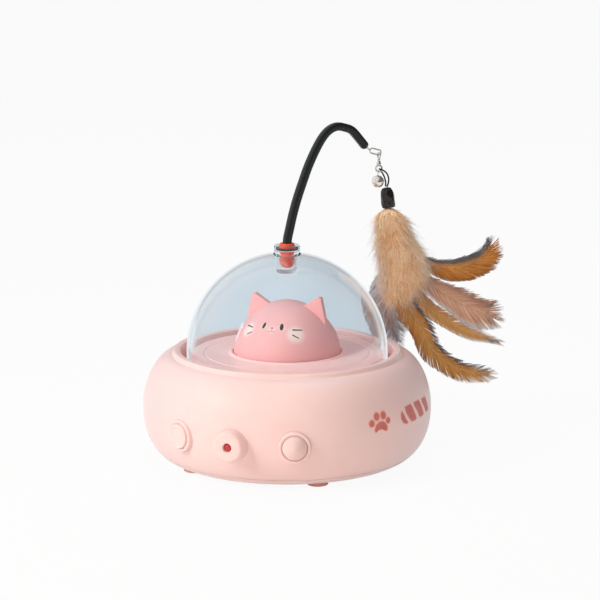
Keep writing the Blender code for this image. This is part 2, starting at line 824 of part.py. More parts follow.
def make_dome(material, seal_material):
    inside = dome_radius - dome_wall
    snap_radius = disc_neck_radius + touch_gap
    snap_top = dome_base_level + dome_snap_height
    centre = (0, disc_level)
    socket_radius = plug_radius + touch_gap
    cup_outside = socket_radius + socket_wall
    collar_top = dome_pole_level + collar_height
    outer_end = 90 - math.degrees(math.asin((collar_radius + collar_height / 3) / dome_radius))
    inner_end = 90 - math.degrees(math.asin(cup_outside / inside))
    socket_floor = dome_pole_level - socket_depth
    cup_low = socket_floor - socket_floor_thickness
    outline = ([(0, socket_floor), (socket_radius, socket_floor),
                (socket_radius, collar_top - collar_mouth_depth),
                (collar_mouth_radius, collar_top - collar_mouth_depth),
                (collar_mouth_radius, collar_top - touch_gap),
                (collar_radius - touch_gap, collar_top), (collar_radius, collar_top - touch_gap),
                (collar_radius, dome_pole_level + collar_height / 4)]
               + arc(dome_radius, outer_end, 0, 7, centre)
               + [(dome_radius, dome_base_level), (snap_radius, dome_base_level),
                  (snap_radius, snap_top), (inside, snap_top)]
               + arc(inside, 0, inner_end, 6, centre)
               + [(cup_outside, cup_low + socket_wall), (socket_radius, cup_low), (0, cup_low)])
    turned("clear_dome", outline, middle_steps, material)
    ring_radius = collar_mouth_radius - touch_gap / 2 - seal_wire_radius
    ring_level = collar_top - collar_mouth_depth + touch_gap + seal_wire_radius
    ring = arc(seal_wire_radius, 0, 300, 5, (ring_radius, ring_level))
    turned("socket_seal", ring, small_steps + 4, seal_material)


# Gears and motor

def gear_outline(teeth, module):
    # involute flanks, thinned by the backlash, with a straight run to the root
    pitch = module * teeth / 2
    base = pitch * math.cos(math.radians(20))
    tip = pitch + 0.9 * module
    root = pitch - 1.2 * module
    half_tooth = math.pi / (2 * teeth) - backlash / pitch

    def roll(radius):
        angle = math.acos(min(base / radius, 1))
        return math.tan(angle) - angle

    flank = []
    for radius in (root, pitch, tip):
        flank.append((radius, half_tooth + roll(pitch) - roll(max(radius, base))))
    points = []
    for tooth in range(teeth):
        middle = math.tau * tooth / teeth
        for radius, half in flank:
            points.append((radius * math.cos(middle - half), radius * math.sin(middle - half)))
        for radius, half in flank[::-1]:
            points.append((radius * math.cos(middle + half), radius * math.sin(middle + half)))
    return points


def turned_points(points, angle):
    turn = math.radians(angle)
    return [(x * math.cos(turn) - y * math.sin(turn), x * math.sin(turn) + y * math.cos(turn))
            for x, y in points]


def make_gears(gear_material, steel):
    # teeth of the hub gear point at the axle, so each follower shows it a gap there
    slab("hub_gear", gear_outline(hub_gear_teeth, hub_module),
         [circle(hub_seat_radius + touch_gap, small_steps + 4)],
         hub_gear_level, hub_gear_top_level, gear_material)
    half_gap = 180 / small_pinion_teeth
    bore = axle_radius + touch_gap
    wheel_top = wheel_level + wheel_width
    pinion_top = hub_gear_top_level + pinion_overlap
    frame = shift(axle_distance, 0, 0)
    wheel = slab("compound_gear", gear_outline(wheel_teeth, motor_module), [],
                 wheel_level, wheel_top, gear_material, frame)
    pinion = turned_points(gear_outline(small_pinion_teeth, hub_module), 180 + half_gap)
    add_to(wheel, slab("pinion", pinion, [], wheel_top - wheel_width / 2, pinion_top,
                       gear_material, frame))
    add_to(wheel, cylinder("washer", gear_washer_radius, wheel_level - gear_washer_height,
                           wheel_level + wheel_width / 2, small_steps, gear_material, frame))
    cut_from(wheel, cylinder("bore", bore, plate_level, pinion_top + cut_overrun,
                             tiny_steps, gear_material, frame))
    pinion = turned_points(gear_outline(motor_pinion_teeth, motor_module),
                           180 + 180 / motor_pinion_teeth)
    slab("motor_pinion", pinion, [circle(motor_shaft_radius + touch_gap, tiny_steps)],
         wheel_level - pinion_overlap, wheel_top + pinion_overlap, gear_material,
         shift(motor_distance, 0, 0))
    clip_level = groove_level + (hub_groove_height - clip_thickness) / 2
    inner = hub_seat_radius - hub_groove_depth + touch_gap
    half_mouth = clip_mouth_angle / 2
    outline = (arc(inner + clip_reach, half_mouth, 360 - half_mouth, 16)
               + arc(inner, 360 - half_mouth, half_mouth, 16))
    slab("hub_clip", outline, [], clip_level, clip_level + clip_thickness, steel,
         Matrix.Rotation(math.radians(180), 4, "Z"))


def plate_screw_places():
    # two of the four posts take screws, at opposite corners
    return [(plate_post_inner, plate_post_offset), (plate_post_outer, -plate_post_offset)]


def make_gear_plate(material, screw_material, steel):
    middle = (plate_inner_edge + plate_outer_edge) / 2
    outline = rounded_rectangle(plate_outer_edge - plate_inner_edge, 2 * plate_half_width,
                                plate_corner_radius, (middle, 0))
    places = plate_screw_places()
    holes = [circle(plate_screw_radius + touch_gap, tiny_steps, place) for place in places]
    holes.append(circle(axle_radius + touch_gap, tiny_steps, (axle_distance, 0)))
    holes.append(circle(motor_nose_radius + touch_gap, small_steps, (motor_distance, 0)))
    slab("gear_plate", outline, holes, plate_level, plate_top_level, material)
    outline = screw_outline(plate_top_level + touch_gap, plate_screw_head_radius,
                            plate_screw_head_height, plate_screw_radius,
                            plate_level - plate_screw_length + touch_gap,
                            plate_screw_head_radius / 2, plate_screw_head_height / 2)
    for number, (x, y) in enumerate(places, 1):
        turned("plate_screw_" + str(number), outline, tiny_steps, screw_material,
               shift(x, y, 0))
    head_top = plate_level - touch_gap
    axle_top = hub_gear_top_level + 2 * pinion_overlap
    turned("gear_axle", [(0, axle_top), (axle_radius, axle_top), (axle_radius, head_top),
                         (axle_head_radius, head_top),
                         (axle_head_radius, head_top - axle_head_height),
                         (0, head_top - axle_head_height)], tiny_steps, steel,
           shift(axle_distance, 0, 0))


def make_motor(material, steel):
    top = motor_top_level
    bottom = top - motor_length
    nose_top = top + motor_nose_height
    hole = motor_shaft_radius + touch_gap
    hole_floor = top - motor_shaft_seat
    place = shift(motor_distance, 0, 0)
    turned("motor_can", [(0, hole_floor), (hole, hole_floor), (hole, nose_top),
                         (motor_nose_radius, nose_top), (motor_nose_radius, top),
                         (motor_radius - motor_bevel, top), (motor_radius, top - motor_bevel),
                         (motor_radius, bottom + motor_bevel),
                         (motor_radius - motor_bevel, bottom), (0, bottom)],
           small_steps + 4, material, place)
    cylinder("motor_shaft", motor_shaft_radius, hole_floor + touch_gap,
             wheel_level + wheel_width + 2 * pinion_overlap, tiny_steps, steel, place)


# Front controls

def bezel_outline(proud, base):
    front = base + proud
    back = base - bezel_back
    return [(bezel_bore_radius, back), (bezel_radius, back), (bezel_radius, front - bezel_edge),
            (bezel_radius - bezel_edge / 2, front), (bezel_bore_radius + bezel_edge / 2, front),
            (bezel_bore_radius, front - bezel_edge)]


def make_small_board(name, material, frame):
    top = sleeve_inner_end - touch_gap
    outline = rounded_rectangle(small_board_width, small_board_height, sleeve_wall)
    slab(name, outline, [], top - board_thickness, top, material, frame)


def make_power_button(materials):
    frame = radial_frame(control_angles["power"], control_level)
    base = surface_radius(control_level)
    turned("power_bezel", bezel_outline(power_bezel_proud, base), small_steps + 8,
           materials["shell"], frame)
    make_small_board("power_board", materials["board"], frame)
    cap = bezel_bore_radius - touch_gap
    flange_top = base - bezel_back - touch_gap
    flange_low = flange_top - button_flange_thickness
    board_top = sleeve_inner_end
    switch_top = board_top + switch_height
    plunger_low = switch_top - plunger_seat
    stem_low = plunger_low + plunger_length + touch_gap
    front = base + button_proud
    turned("power_button", [(0, front - button_dish_step),
                            (button_dish_radius, front - button_dish_step),
                            (button_dish_radius + button_dish_step, front),
                            (cap - button_edge / 2, front - button_edge / 4),
                            (cap, front - button_edge), (cap, flange_top),
                            (cap + button_flange_width, flange_top),
                            (cap + button_flange_width, flange_low),
                            (button_stem_radius, flange_low), (button_stem_radius, stem_low),
                            (0, stem_low)], small_steps + 8, materials["button"], frame)
    switch = slab("power_switch", rounded_rectangle(switch_width, switch_width, board_thickness / 2),
                  [], board_top, switch_top, materials["dark"], frame)
    cut_from(switch, cylinder("well", plunger_radius + touch_gap,
                              plunger_low - button_travel - touch_gap,
                              switch_top + cut_overrun, tiny_steps, materials["dark"], frame))
    cylinder("switch_plunger", plunger_radius, plunger_low, plunger_low + plunger_length,
             tiny_steps, materials["white"], frame)


def make_lamp(materials):
    frame = radial_frame(control_angles["lamp"], control_level)
    base = surface_radius(control_level)
    front = base + boss_lamp_proud
    back = base - bezel_back
    bore = lamp_radius + touch_gap
    inside = boss_lamp_radius - boss_lamp_wall
    wall_back = front - boss_lamp_front
    mouth_floor = front - boss_lamp_mouth_depth
    rounded = arc(boss_lamp_edge, 90, 0, 3,
                  (boss_lamp_radius - boss_lamp_edge, front - boss_lamp_edge))
    turned("lamp_boss", [(inside, back), (inside, wall_back), (bore, wall_back),
                         (bore, mouth_floor), (boss_lamp_mouth_radius, mouth_floor),
                         (boss_lamp_mouth_radius, front)] + rounded
           + [(boss_lamp_radius, back)], small_steps + 8, materials["shell"], frame)
    make_small_board("lamp_board", materials["board"], frame)
    lens_front = front - lamp_recess
    flange_top = wall_back - touch_gap
    flange_low = flange_top - lamp_flange_thickness
    led_top = sleeve_inner_end + led_height
    turned("lamp_lens", [(0, lens_front), (lamp_radius * 0.6, lens_front - lamp_radius * 0.1),
                         (lamp_radius, lens_front - lamp_radius * 0.4),
                         (lamp_radius, flange_top), (lamp_flange_radius, flange_top),
                         (lamp_flange_radius, flange_low), (lamp_pipe_radius, flange_low),
                         (lamp_pipe_radius, led_top), (led_radius, led_top),
                         (led_radius, sleeve_inner_end), (0, sleeve_inner_end)],
           small_steps, materials["red"], frame)


def make_sensor(materials):
    frame = radial_frame(control_angles["sensor"], control_level)
    base = surface_radius(control_level)
    turned("sensor_bezel", bezel_outline(sensor_bezel_proud, base), small_steps + 8,
           materials["shell"], frame)
    make_small_board("sensor_board", materials["board"], frame)
    radius = bezel_bore_radius - touch_gap
    inside = radius - sensor_lens_wall
    low = base - bezel_back - sensor_lens_skirt - touch_gap
    flange_top = low + sensor_lens_skirt
    spring = base + sensor_bezel_proud / 2
    outer = swell_curve(radius, 0, spring, spring + sensor_lens_rise, spring + sensor_lens_rise,
                        1.9, 5)
    inner = swell_curve(inside, 0, spring, spring + sensor_lens_rise - sensor_lens_wall,
                        spring + sensor_lens_rise - sensor_lens_wall, 1.9, 3)
    flange = bezel_radius - touch_gap
    turned("sensor_lens", outer[::-1] + [(radius, flange_top), (flange, flange_top),
                                         (flange, low), (inside, low)] + inner,
           small_steps + 8, materials["lens"], frame)
    can_top = sleeve_inner_end + sensor_can_height
    can_foot = sleeve_inner_end + sensor_can_flange_height
    foot = sensor_can_radius + sensor_can_flange
    turned("sensor_can", [(0, can_top), (sensor_can_radius, can_top),
                          (sensor_can_radius, can_foot), (foot, can_foot),
                          (foot, sleeve_inner_end), (0, sleeve_inner_end)],
           small_steps, materials["steel"], frame)


# Main board, charge socket and battery

def standoff_places():
    side = main_board_width / 2 - standoff_inset
    return [(x, y) for x in (-side, side)
            for y in (main_board_front + standoff_inset, main_board_back - standoff_back_inset)]


def make_electronics(materials):
    depth = main_board_back - main_board_front
    middle = (main_board_back + main_board_front) / 2
    top = main_board_level + board_thickness
    seat = top + touch_gap
    board = slab("main_board", rounded_rectangle(main_board_width, depth, standoff_inset / 2,
                                                 (0, middle)), [], main_board_level, top,
                 materials["board"])
    chip_place = (0, main_board_front + chip_back)
    add_to(board, slab("chip", rounded_rectangle(chip_size, chip_size, chip_height / 4,
                                                 chip_place), [], top - chip_height / 2,
                       top + chip_height, materials["board"]))
    for side in (-1, 1):
        place = (side * header_offset, main_board_front + plug_header_depth)
        add_to(board, slab("header", rounded_rectangle(plug_header_width, plug_header_depth,
                                                       chip_height / 4, place), [],
                           top - chip_height / 2, top + plug_header_height,
                           materials["board"]))
    turn = Matrix.Rotation(math.radians(90), 4, "X")
    level = seat + charge_height / 2
    mouth = main_board_back + charge_overhang
    socket = slab("charge_socket", rounded_rectangle(charge_width, charge_height, charge_corner,
                                                     (0, level)), [], -mouth,
                  charge_length - mouth, materials["steel"], turn)
    hollow = rounded_rectangle(charge_width - 2 * charge_wall, charge_height - 2 * charge_wall,
                               charge_corner - charge_wall, (0, level))
    tongue = rounded_rectangle(charge_width - 4 * charge_corner, charge_tongue,
                               charge_tongue / 4, (0, level))
    cut_from(socket, slab("hollow", hollow, [tongue], -mouth - cut_overrun,
                          charge_length - mouth - charge_corner, materials["steel"], turn))
    half = cell_length / 2
    cell = [(0, half + cell_button_height), (cell_button_radius, half + cell_button_height),
            (cell_button_radius, half), (cell_radius - cell_edge, half),
            (cell_radius, half - cell_edge), (cell_radius, cell_edge - half),
            (cell_radius - cell_edge, -half), (0, -half)]
    place = shift(-cell_offset, 0, cell_level)
    turned("battery_cell", cell, small_steps + 4, materials["cell"],
           place @ Matrix.Rotation(math.radians(-90), 4, "X"))
    inside = cell_radius + touch_gap
    outside = inside + strap_thickness
    floor = -cell_radius
    step = floor + strap_thickness
    arch = ([(outside + strap_foot, floor), (outside + strap_foot, step), (outside, step)]
            + arc(outside, 0, 180, 10) + [(-outside, step), (-outside - strap_foot, step),
                                          (-outside - strap_foot, floor), (-inside, floor)]
            + arc(inside, 180, 0, 10) + [(inside, floor)])
    slab("battery_strap", arch, [], -strap_width / 2, strap_width / 2, materials["white"],
         place @ Matrix.Rotation(math.radians(90), 4, "X"))
    make_leads(materials, top)


def make_leads(materials, board_top):
    # twin leads from the cell and the motor's foot to the headers on the main board
    header_front = main_board_front + plug_header_depth / 2 - touch_gap
    header_level = board_top + plug_header_height / 2
    cell_end = cell_length / 2 + cell_button_height + touch_gap
    reach = up * strap_foot
    back = Vector((0, strap_foot, 0))
    near = Vector((-cell_offset, cell_end, cell_level))
    left = Vector((-header_offset, header_front, header_level))
    points = [near, near + back / 3, near + back * 0.4 + reach * 0.6,
              left - back / 2 + reach * 0.2, left]
    tube("battery_lead", [smooth_route(points, 3)], lead_radius, 6, materials["red"])
    low = motor_top_level - motor_length - touch_gap
    start = Vector((motor_distance, 0, low))
    right = Vector((header_offset, header_front, header_level))
    points = [start, start - reach / 2 + back / 3, start - reach * 0.8 + back * 3,
              right - back * 2 - reach, right - back / 2, right]
    tube("motor_lead", [smooth_route(points, 3)], lead_radius, 6, materials["dark"])


# Wand, swivel and bell

def wand_point(radius, level):
    return wand_direction * radius + up * level


def make_wand(materials):
    bore = rod_radius + touch_gap
    low = plug_top_level - plug_length
    rounded = arc(plug_radius, -20, -80, 4, (0, low + plug_radius))
    shoulder = plug_top_level - plug_edge
    seat = plug_top_level - plug_bore_depth
    turned("wand_plug", [(0, seat), (bore, seat), (bore, plug_top_level),
                         (plug_radius - plug_edge, plug_top_level), (plug_radius, shoulder)]
           + rounded + [(0, low)], small_steps + 4, materials["plug"])
    start_level = plug_top_level + touch_gap - plug_bore_depth - rod_route_shares[0][1] * rod_rise
    points = [wand_point(reach * rod_reach, start_level + rise * rod_rise)
              for reach, rise in rod_route_shares]
    rod = tube("wand_rod", [smooth_route(points, 2)], rod_radius, 10, materials["rod"])
    end = points[-1]
    slope = (points[-1] - points[-2]).normalized()
    add_to(rod, turned("nose", [(0, rod_radius * 0.8), (rod_radius * 0.6, rod_radius * 0.62),
                                (rod_radius * 0.96, rod_radius * 0.05),
                                (rod_radius * 0.9, -rod_radius), (0, -rod_radius)], 10,
                       materials["rod"], Matrix.Translation(end)
                       @ slope.to_track_quat("Z", "Y").to_matrix().to_4x4()))
    make_eye(materials["steel"], end + slope * rod_radius * 0.8, slope)


def eye_places(start, slope):
    # the eye dips more gently than the rod's end, and its far bend carries the swivel
    dip = (slope + wand_direction * eye_lean_share).normalized()
    first = start + slope * touch_gap
    near = first + (slope + dip).normalized() * eye_stem_length * 0.5
    far = near + dip * eye_length
    across = dip.cross(wand_direction.cross(up)).normalized()
    return first, near, far, dip, across


def make_eye(material, start, slope):
    first, near, far, dip, across = eye_places(start, slope)
    half = eye_half_width
    loop = []
    for centre, begin in ((far - dip * half, -90), (near + dip * half, 90)):
        for step in range(7):
            turn = math.radians(begin + 30 * step)
            loop.append(centre + half * (dip * math.cos(turn) + across * math.sin(turn)))
    eye = tube("wand_eye", [loop], wire_radius, 6, material, closed=True)
    add_to(eye, tube("stem", [[first, near + slope * wire_radius / 2]], wire_radius, 6,
                     material))


def hang_point():
    # the lowest point of the eye's far bend, on its wire's centre line
    start_level = plug_top_level + touch_gap - plug_bore_depth - rod_route_shares[0][1] * rod_rise
    last = wand_point(rod_route_shares[-1][0] * rod_reach,
                      start_level + rod_route_shares[-1][1] * rod_rise)
    before = wand_point(rod_route_shares[-2][0] * rod_reach,
                        start_level + rod_route_shares[-2][1] * rod_rise)
    slope = (last - before).normalized()
    far, dip = eye_places(last + slope * rod_radius * 0.8, slope)[2:4]
    return far - dip * eye_half_width - up * eye_half_width


def swivel_levels():
    ring_top = hang_point().z + 2 * wire_radius + touch_gap
    ring_centre = ring_top - swivel_ring_radius
    ring_low = ring_centre - swivel_ring_radius
    barrel_top = ring_low - wire_radius - touch_gap
    barrel_low = barrel_top - swivel_barrel_length
    snap_centre = barrel_low - snap_ring_radius
    return ring_centre, ring_low, barrel_top, barrel_low, snap_centre


def saddle_drop(hung_radius, side_step):
    # how far below the snap ring's centre a wire or cord hangs inside the ring
    room = snap_ring_radius - wire_radius - hung_radius - touch_gap
    return math.sqrt(room ** 2 - side_step ** 2)


def make_swivel(material):
    place = hang_point()
    axis = Vector((place.x, place.y, 0))
    tangent = wand_direction.cross(up)
    ring_centre, ring_low, barrel_top, barrel_low, snap_centre = swivel_levels()
    frame = Matrix.Translation(axis)
    eye = tube("swivel_eye", [standing_ring(up * ring_centre, tangent, swivel_ring_radius, 12)],
               wire_radius, 6, material, closed=True, frame=frame)
    add_to(eye, cylinder("pin", wire_radius, ring_low - swivel_pin_length, ring_low, 8,
                         material, frame))
    hook = tube("snap_hook", [standing_ring(up * snap_centre, fan_direction, snap_ring_radius,
                                            14)], wire_radius, 6, material, closed=True,
                frame=frame)
    bore = wire_radius + touch_gap
    floor = ring_low - swivel_pin_length - touch_gap
    add_to(hook, turned("barrel", [(0, barrel_top), (swivel_barrel_radius * 0.8, barrel_top),
                                   (swivel_barrel_radius, barrel_top - wire_radius),
                                   (swivel_barrel_radius, barrel_low + wire_radius),
                                   (swivel_barrel_radius / 2, barrel_low - wire_radius / 2),
                                   (0, barrel_low - wire_radius / 2)], 12, material, frame))
    cut_from(hook, cylinder("socket", bore, floor, barrel_top + cut_overrun, 8, material,
                            frame))


def make_bell(materials):
    ring_centre, ring_low, barrel_top, barrel_low, snap_centre = swivel_levels()
    loop_top = snap_centre - saddle_drop(bell_loop_wire_radius, bell_side_step)
    loop_centre = loop_top - bell_loop_radius
    centre_level = snap_centre - snap_ring_radius - bell_drop
    place = hang_point() - fan_direction * bell_side_step
    frame = shift(place.x, place.y, 0)
    inside = bell_radius - bell_wall
    centre = (0, centre_level)
    shell = turned("bell_shell", arc(bell_radius, 90, -80, 6, centre)
                   + arc(inside, -80, 90, 5, centre), small_steps, materials["silver"], frame)
    for turn in (fan_angle + 45, fan_angle + 135):
        slot = slab("slot", rounded_rectangle(3 * bell_radius, bell_slot_width,
                                              bell_slot_width / 4), [],
                    centre_level - 2 * bell_radius, centre_level - bell_radius / 4,
                    materials["silver"],
                    frame @ Matrix.Rotation(math.radians(turn), 4, "Z"))
        cut_from(shell, slot)
    points = standing_ring(up * loop_centre, fan_depth, bell_loop_radius, 10)
    loop = tube("loop", [points], bell_loop_wire_radius, 5, materials["silver"], closed=True,
                frame=frame)
    add_to(loop, cylinder("neck", bell_loop_wire_radius * 2,
                          centre_level + bell_radius - bell_wall * 0.8,
                          loop_centre - bell_loop_radius, 8, materials["silver"], frame))
    add_to(shell, loop)
    pellet_level = centre_level - inside + pellet_radius + touch_gap * 2
    turned("bell_pellet", arc(pellet_radius, 90, -90, 6, (0, pellet_level)), 10,
           materials["steel"], frame)


# Feathers

def fan_point(origin, side, rise, depth):
    return origin + fan_direction * side + up * rise + fan_depth * depth


def cord_saddle():
    # the middle of the cord where it lies over the snap ring's wire
    place = hang_point()
    level = swivel_levels()[4] - saddle_drop(cord_radius, cord_side_step)
    return Vector((place.x, place.y, level)) + fan_direction * cord_side_step


def make_cap_and_cord(materials):
    hang = cord_saddle()
    top = fan_point(hang, cap_side, -cap_drop, cap_depth)
    lean = fan_direction * cap_lean_side - up * cap_length
    bottom = top + lean
    axis = (top - bottom).normalized()
    crown = [(0, cap_length), (cap_radius * 0.5, cap_length - cap_crown * 0.08),
             (cap_radius * 0.78, cap_length - cap_crown * 0.35),
             (cap_radius * 0.88, cap_length - cap_crown)]
    turned("feather_cap", crown + [(cap_radius, cap_crown), (cap_radius * 0.96, 0), (0, 0)],
           small_steps, materials["cap"],
           Matrix.Translation(bottom) @ axis.to_track_quat("Z", "Y").to_matrix().to_4x4())
    points = [fan_point(hang, side * cord_size, rise * cord_size, depth * cord_size)
              for side, depth, rise in cord_route_shares]
    tube("cord_loop", [smooth_route(points, 2)], cord_radius, 6, materials["dark"])
    return bottom


def fluff_rings(origin, margin, steps):
    rings = []
    for row, (side, rise, half_side, half_depth) in enumerate(fluff_shares):
        ring = []
        for step in range(steps):
            turn = math.tau * step / steps
            ripple = 1 + fluff_ripple_share * math.sin(fluff_ripples * turn + row)
            ring.append(fan_point(
                origin,
                side * fan_length + (half_side * fan_length * ripple + margin) * math.cos(turn),
                rise * fan_length,
                (half_depth * fan_length * ripple + margin) * math.sin(turn)))
        rings.append(ring)
    return rings


def make_fluff(name, origin, margin, material):
    maker = bmesh.new()
    steps = 15
    rings = [[maker.verts.new(point) for point in ring]
             for ring in fluff_rings(origin, margin, steps)]
    for ring, following in zip(rings, rings[1:]):
        for step in range(steps):
            beside = (step + 1) % steps
            maker.faces.new((ring[step], ring[beside], following[beside], following[step]))
    maker.faces.new(rings[0])
    maker.faces.new(rings[-1])
    return to_object(maker, name, material)


def make_feather(name, shape, origin, material):
    # a thin leaf that is thickest along its shaft and sharp at both edges
    points = [fan_point(origin, side * fan_length, rise * fan_length, depth * fan_length)
              for side, rise, depth in shape["route"]]
    route = smooth_route(points, 3)
    widths = shape["widths"]
    maker = bmesh.new()
    rings = []
    for place, point in enumerate(route):
        before = route[max(place - 1, 0)]
        after = route[min(place + 1, len(route) - 1)]
        along = (after - before).normalized()
        flat = fan_depth.cross(along).normalized()
        turn = Matrix.Rotation(math.radians(shape["turn"]), 3, along)
        wide = turn @ flat
        thick = along.cross(wide)
        share = place / (len(route) - 1) * (len(widths) - 1)
        first = min(int(share), len(widths) - 2)
        width = widths[first] + (widths[first + 1] - widths[first]) * (share - first)
        half = width * shape["width"] * fan_length / 2
        rise = feather_thickness / 2
        rings.append([maker.verts.new(point + wide * x * half + thick * z * rise)
                      for x, z in ((1, 0.25), (0, 1), (-1, 0.25), (-1, -0.25), (0, -1),
                                   (1, -0.25))])
    for ring, following in zip(rings, rings[1:]):
        for side in range(6):
            beside = (side + 1) % 6
            maker.faces.new((ring[side], ring[beside], following[beside], following[side]))
    maker.faces.new(rings[0])
    maker.faces.new(rings[-1])
    return to_object(maker, name, material)


def make_bunch(materials):
    origin = make_cap_and_cord(materials)
    make_fluff("feather_fluff", origin - up * touch_gap, 0, materials["fluff"])
    for name, shape in feather_shares.items():
        feather = make_feather(name, shape, origin, materials[name])
        cut_from(feather, make_fluff("room", origin - up * touch_gap, touch_gap,
                                     materials["fluff"]))


def hang_on(parent_name, place, children):
    # an empty on a joint's axis carries the pieces that move about it
    carrier = bpy.data.objects.new(parent_name, None)
    bpy.context.collection.objects.link(carrier)
    carrier.location = place
    carrier.empty_display_size = cap_length
    bpy.context.view_layer.update()
    for name in children:
        child = bpy.data.objects[name]
        child.parent = carrier
        child.matrix_parent_inverse = carrier.matrix_world.inverted()
    return carrier


def build():
    clear_scene()
    materials = {
        "shell": plain_material("pink_shell", (0.90, 0.62, 0.58), 0.35),
        "button": plain_material("pink_button", (0.90, 0.62, 0.58), 0.35),
        "head": plain_material("pink_head", (0.85, 0.36, 0.40), 0.45),
        "disc": plain_material("pink_disc", (0.82, 0.60, 0.56), 0.30),
        "clear": plain_material("clear_plastic", (0.92, 0.97, 1.0), 0.04, 0.0, 1.0),
        "plug": plain_material("orange_plug", (0.85, 0.12, 0.05), 0.35),
        "rod": plain_material("black_rod", (0.02, 0.022, 0.022), 0.30),
        "steel": plain_material("steel", (0.60, 0.61, 0.60), 0.30, 1.0),
        "silver": plain_material("silver_bell", (0.80, 0.76, 0.72), 0.15, 1.0),
        "cap": plain_material("dark_cap", (0.03, 0.018, 0.014), 0.15),
        "dark": plain_material("black_plastic", (0.02, 0.02, 0.02), 0.50),
        "white": plain_material("white_plastic", (0.80, 0.78, 0.75), 0.45),
        "red": plain_material("red_lens", (0.55, 0.008, 0.012), 0.15),
        "lens": plain_material("milky_lens", (0.90, 0.72, 0.69), 0.30),
        "gear": plain_material("nylon_gear", (0.85, 0.84, 0.78), 0.40),
        "board": plain_material("circuit_board", (0.02, 0.16, 0.06), 0.45),
        "cell": plain_material("cell_wrap", (0.05, 0.20, 0.50), 0.35),
        "rubber": plain_material("pink_rubber", (0.72, 0.45, 0.40), 0.75),
        "seal": plain_material("black_seal", (0.015, 0.015, 0.015), 0.60),
        "fluff": plain_material("tan_fluff", (0.68, 0.42, 0.20), 0.80),
        "feather_grey": plain_material("grey_feather", (0.36, 0.26, 0.26), 0.60),
        "feather_sickle": plain_material("gold_feather", (0.48, 0.20, 0.03), 0.55),
        "feather_slender": plain_material("amber_feather", (0.52, 0.24, 0.06), 0.55),
        "feather_broad": plain_material("russet_feather", (0.45, 0.24, 0.18), 0.55),
        "feather_curled": plain_material("brown_feather", (0.40, 0.16, 0.03), 0.55),
    }
    make_upper_shell(materials["shell"])
    make_bottom_cover(materials["shell"])
    make_feet(materials["rubber"])
    make_housing_screws(materials["steel"])
    make_post(materials["white"])
    make_head(materials["head"])
    make_bush(materials["white"])
    make_turntable(materials["disc"])
    make_dome(materials["clear"], materials["seal"])
    make_gears(materials["gear"], materials["steel"])
    make_gear_plate(materials["white"], materials["steel"], materials["steel"])
    make_motor(materials["steel"], materials["steel"])
    make_power_button(materials)
    make_lamp(materials)
    make_sensor(materials)
    make_electronics(materials)
    make_wand(materials)
    make_swivel(materials["steel"])
    make_bell(materials)
    make_bunch(materials)
    hang = hang_point()
    hang_on("turntable_axis", (0, 0, disc_level),
            ["turntable_disc", "hub_gear", "hub_clip", "clear_dome", "socket_seal"])
    hang_on("compound_axis", (axle_distance, 0, wheel_level), ["compound_gear"])
    hang_on("rotor_axis", (motor_distance, 0, wheel_level), ["motor_pinion", "motor_shaft"])
    hang_on("button_axis", front_point(control_angles["power"], body_radius, control_level),
            ["power_button", "switch_plunger"])
    hang_on("wand_axis", (0, 0, plug_top_level), ["wand_plug", "wand_rod", "wand_eye"])
    hang_on("eye_pivot", hang, ["swivel_eye"])
    hang_on("snap_axis", hang, ["snap_hook"])
    low = Vector((hang.x, hang.y, swivel_levels()[4] - snap_ring_radius))
    hang_on("bell_pivot", low - fan_direction * bell_side_step, ["bell_shell", "bell_pellet"])
    hang_on("bunch_pivot", cord_saddle(), ["cord_loop", "feather_cap", "feather_fluff"]
            + list(feather_shares))


build()
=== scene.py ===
import bmesh
import bpy
import json
import math
from mathutils import Matrix, Vector


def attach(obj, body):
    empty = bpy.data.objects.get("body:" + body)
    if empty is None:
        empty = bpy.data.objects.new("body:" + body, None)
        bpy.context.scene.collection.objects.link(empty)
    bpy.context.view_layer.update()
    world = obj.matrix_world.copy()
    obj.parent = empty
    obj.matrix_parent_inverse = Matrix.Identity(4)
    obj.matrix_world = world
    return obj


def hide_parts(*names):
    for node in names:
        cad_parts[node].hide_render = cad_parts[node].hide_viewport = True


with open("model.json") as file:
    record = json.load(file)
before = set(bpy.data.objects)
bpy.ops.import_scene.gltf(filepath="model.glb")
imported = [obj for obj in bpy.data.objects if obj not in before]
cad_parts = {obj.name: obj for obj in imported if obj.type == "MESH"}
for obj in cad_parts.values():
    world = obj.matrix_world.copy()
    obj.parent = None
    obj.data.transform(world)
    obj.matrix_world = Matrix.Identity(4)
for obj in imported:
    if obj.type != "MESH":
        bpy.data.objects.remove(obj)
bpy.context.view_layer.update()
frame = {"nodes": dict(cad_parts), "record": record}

# Cat teaser toy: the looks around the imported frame, in metres
scene = bpy.context.scene
scene.view_settings.view_transform = "Standard"
upward = Vector((0, 0, 1))


# Camera

cameraSettings = {
    "azimuth": 21.3, "elevation": 13.03, "distance": 1.2, "focusLevel": 0.0600,
    "focalPixels": 2077, "frameWidth": 600, "sensorWidth": 36, "pixelsRight": 12.9,
    "pixelsUp": 51.9,
}


def linkObject(name, data):
    made = bpy.data.objects.new(name, data)
    scene.collection.objects.link(made)
    return made


def aim(thing, place, target):
    thing.location = place
    thing.rotation_euler = (place - target).to_track_quat("Z", "Y").to_euler()


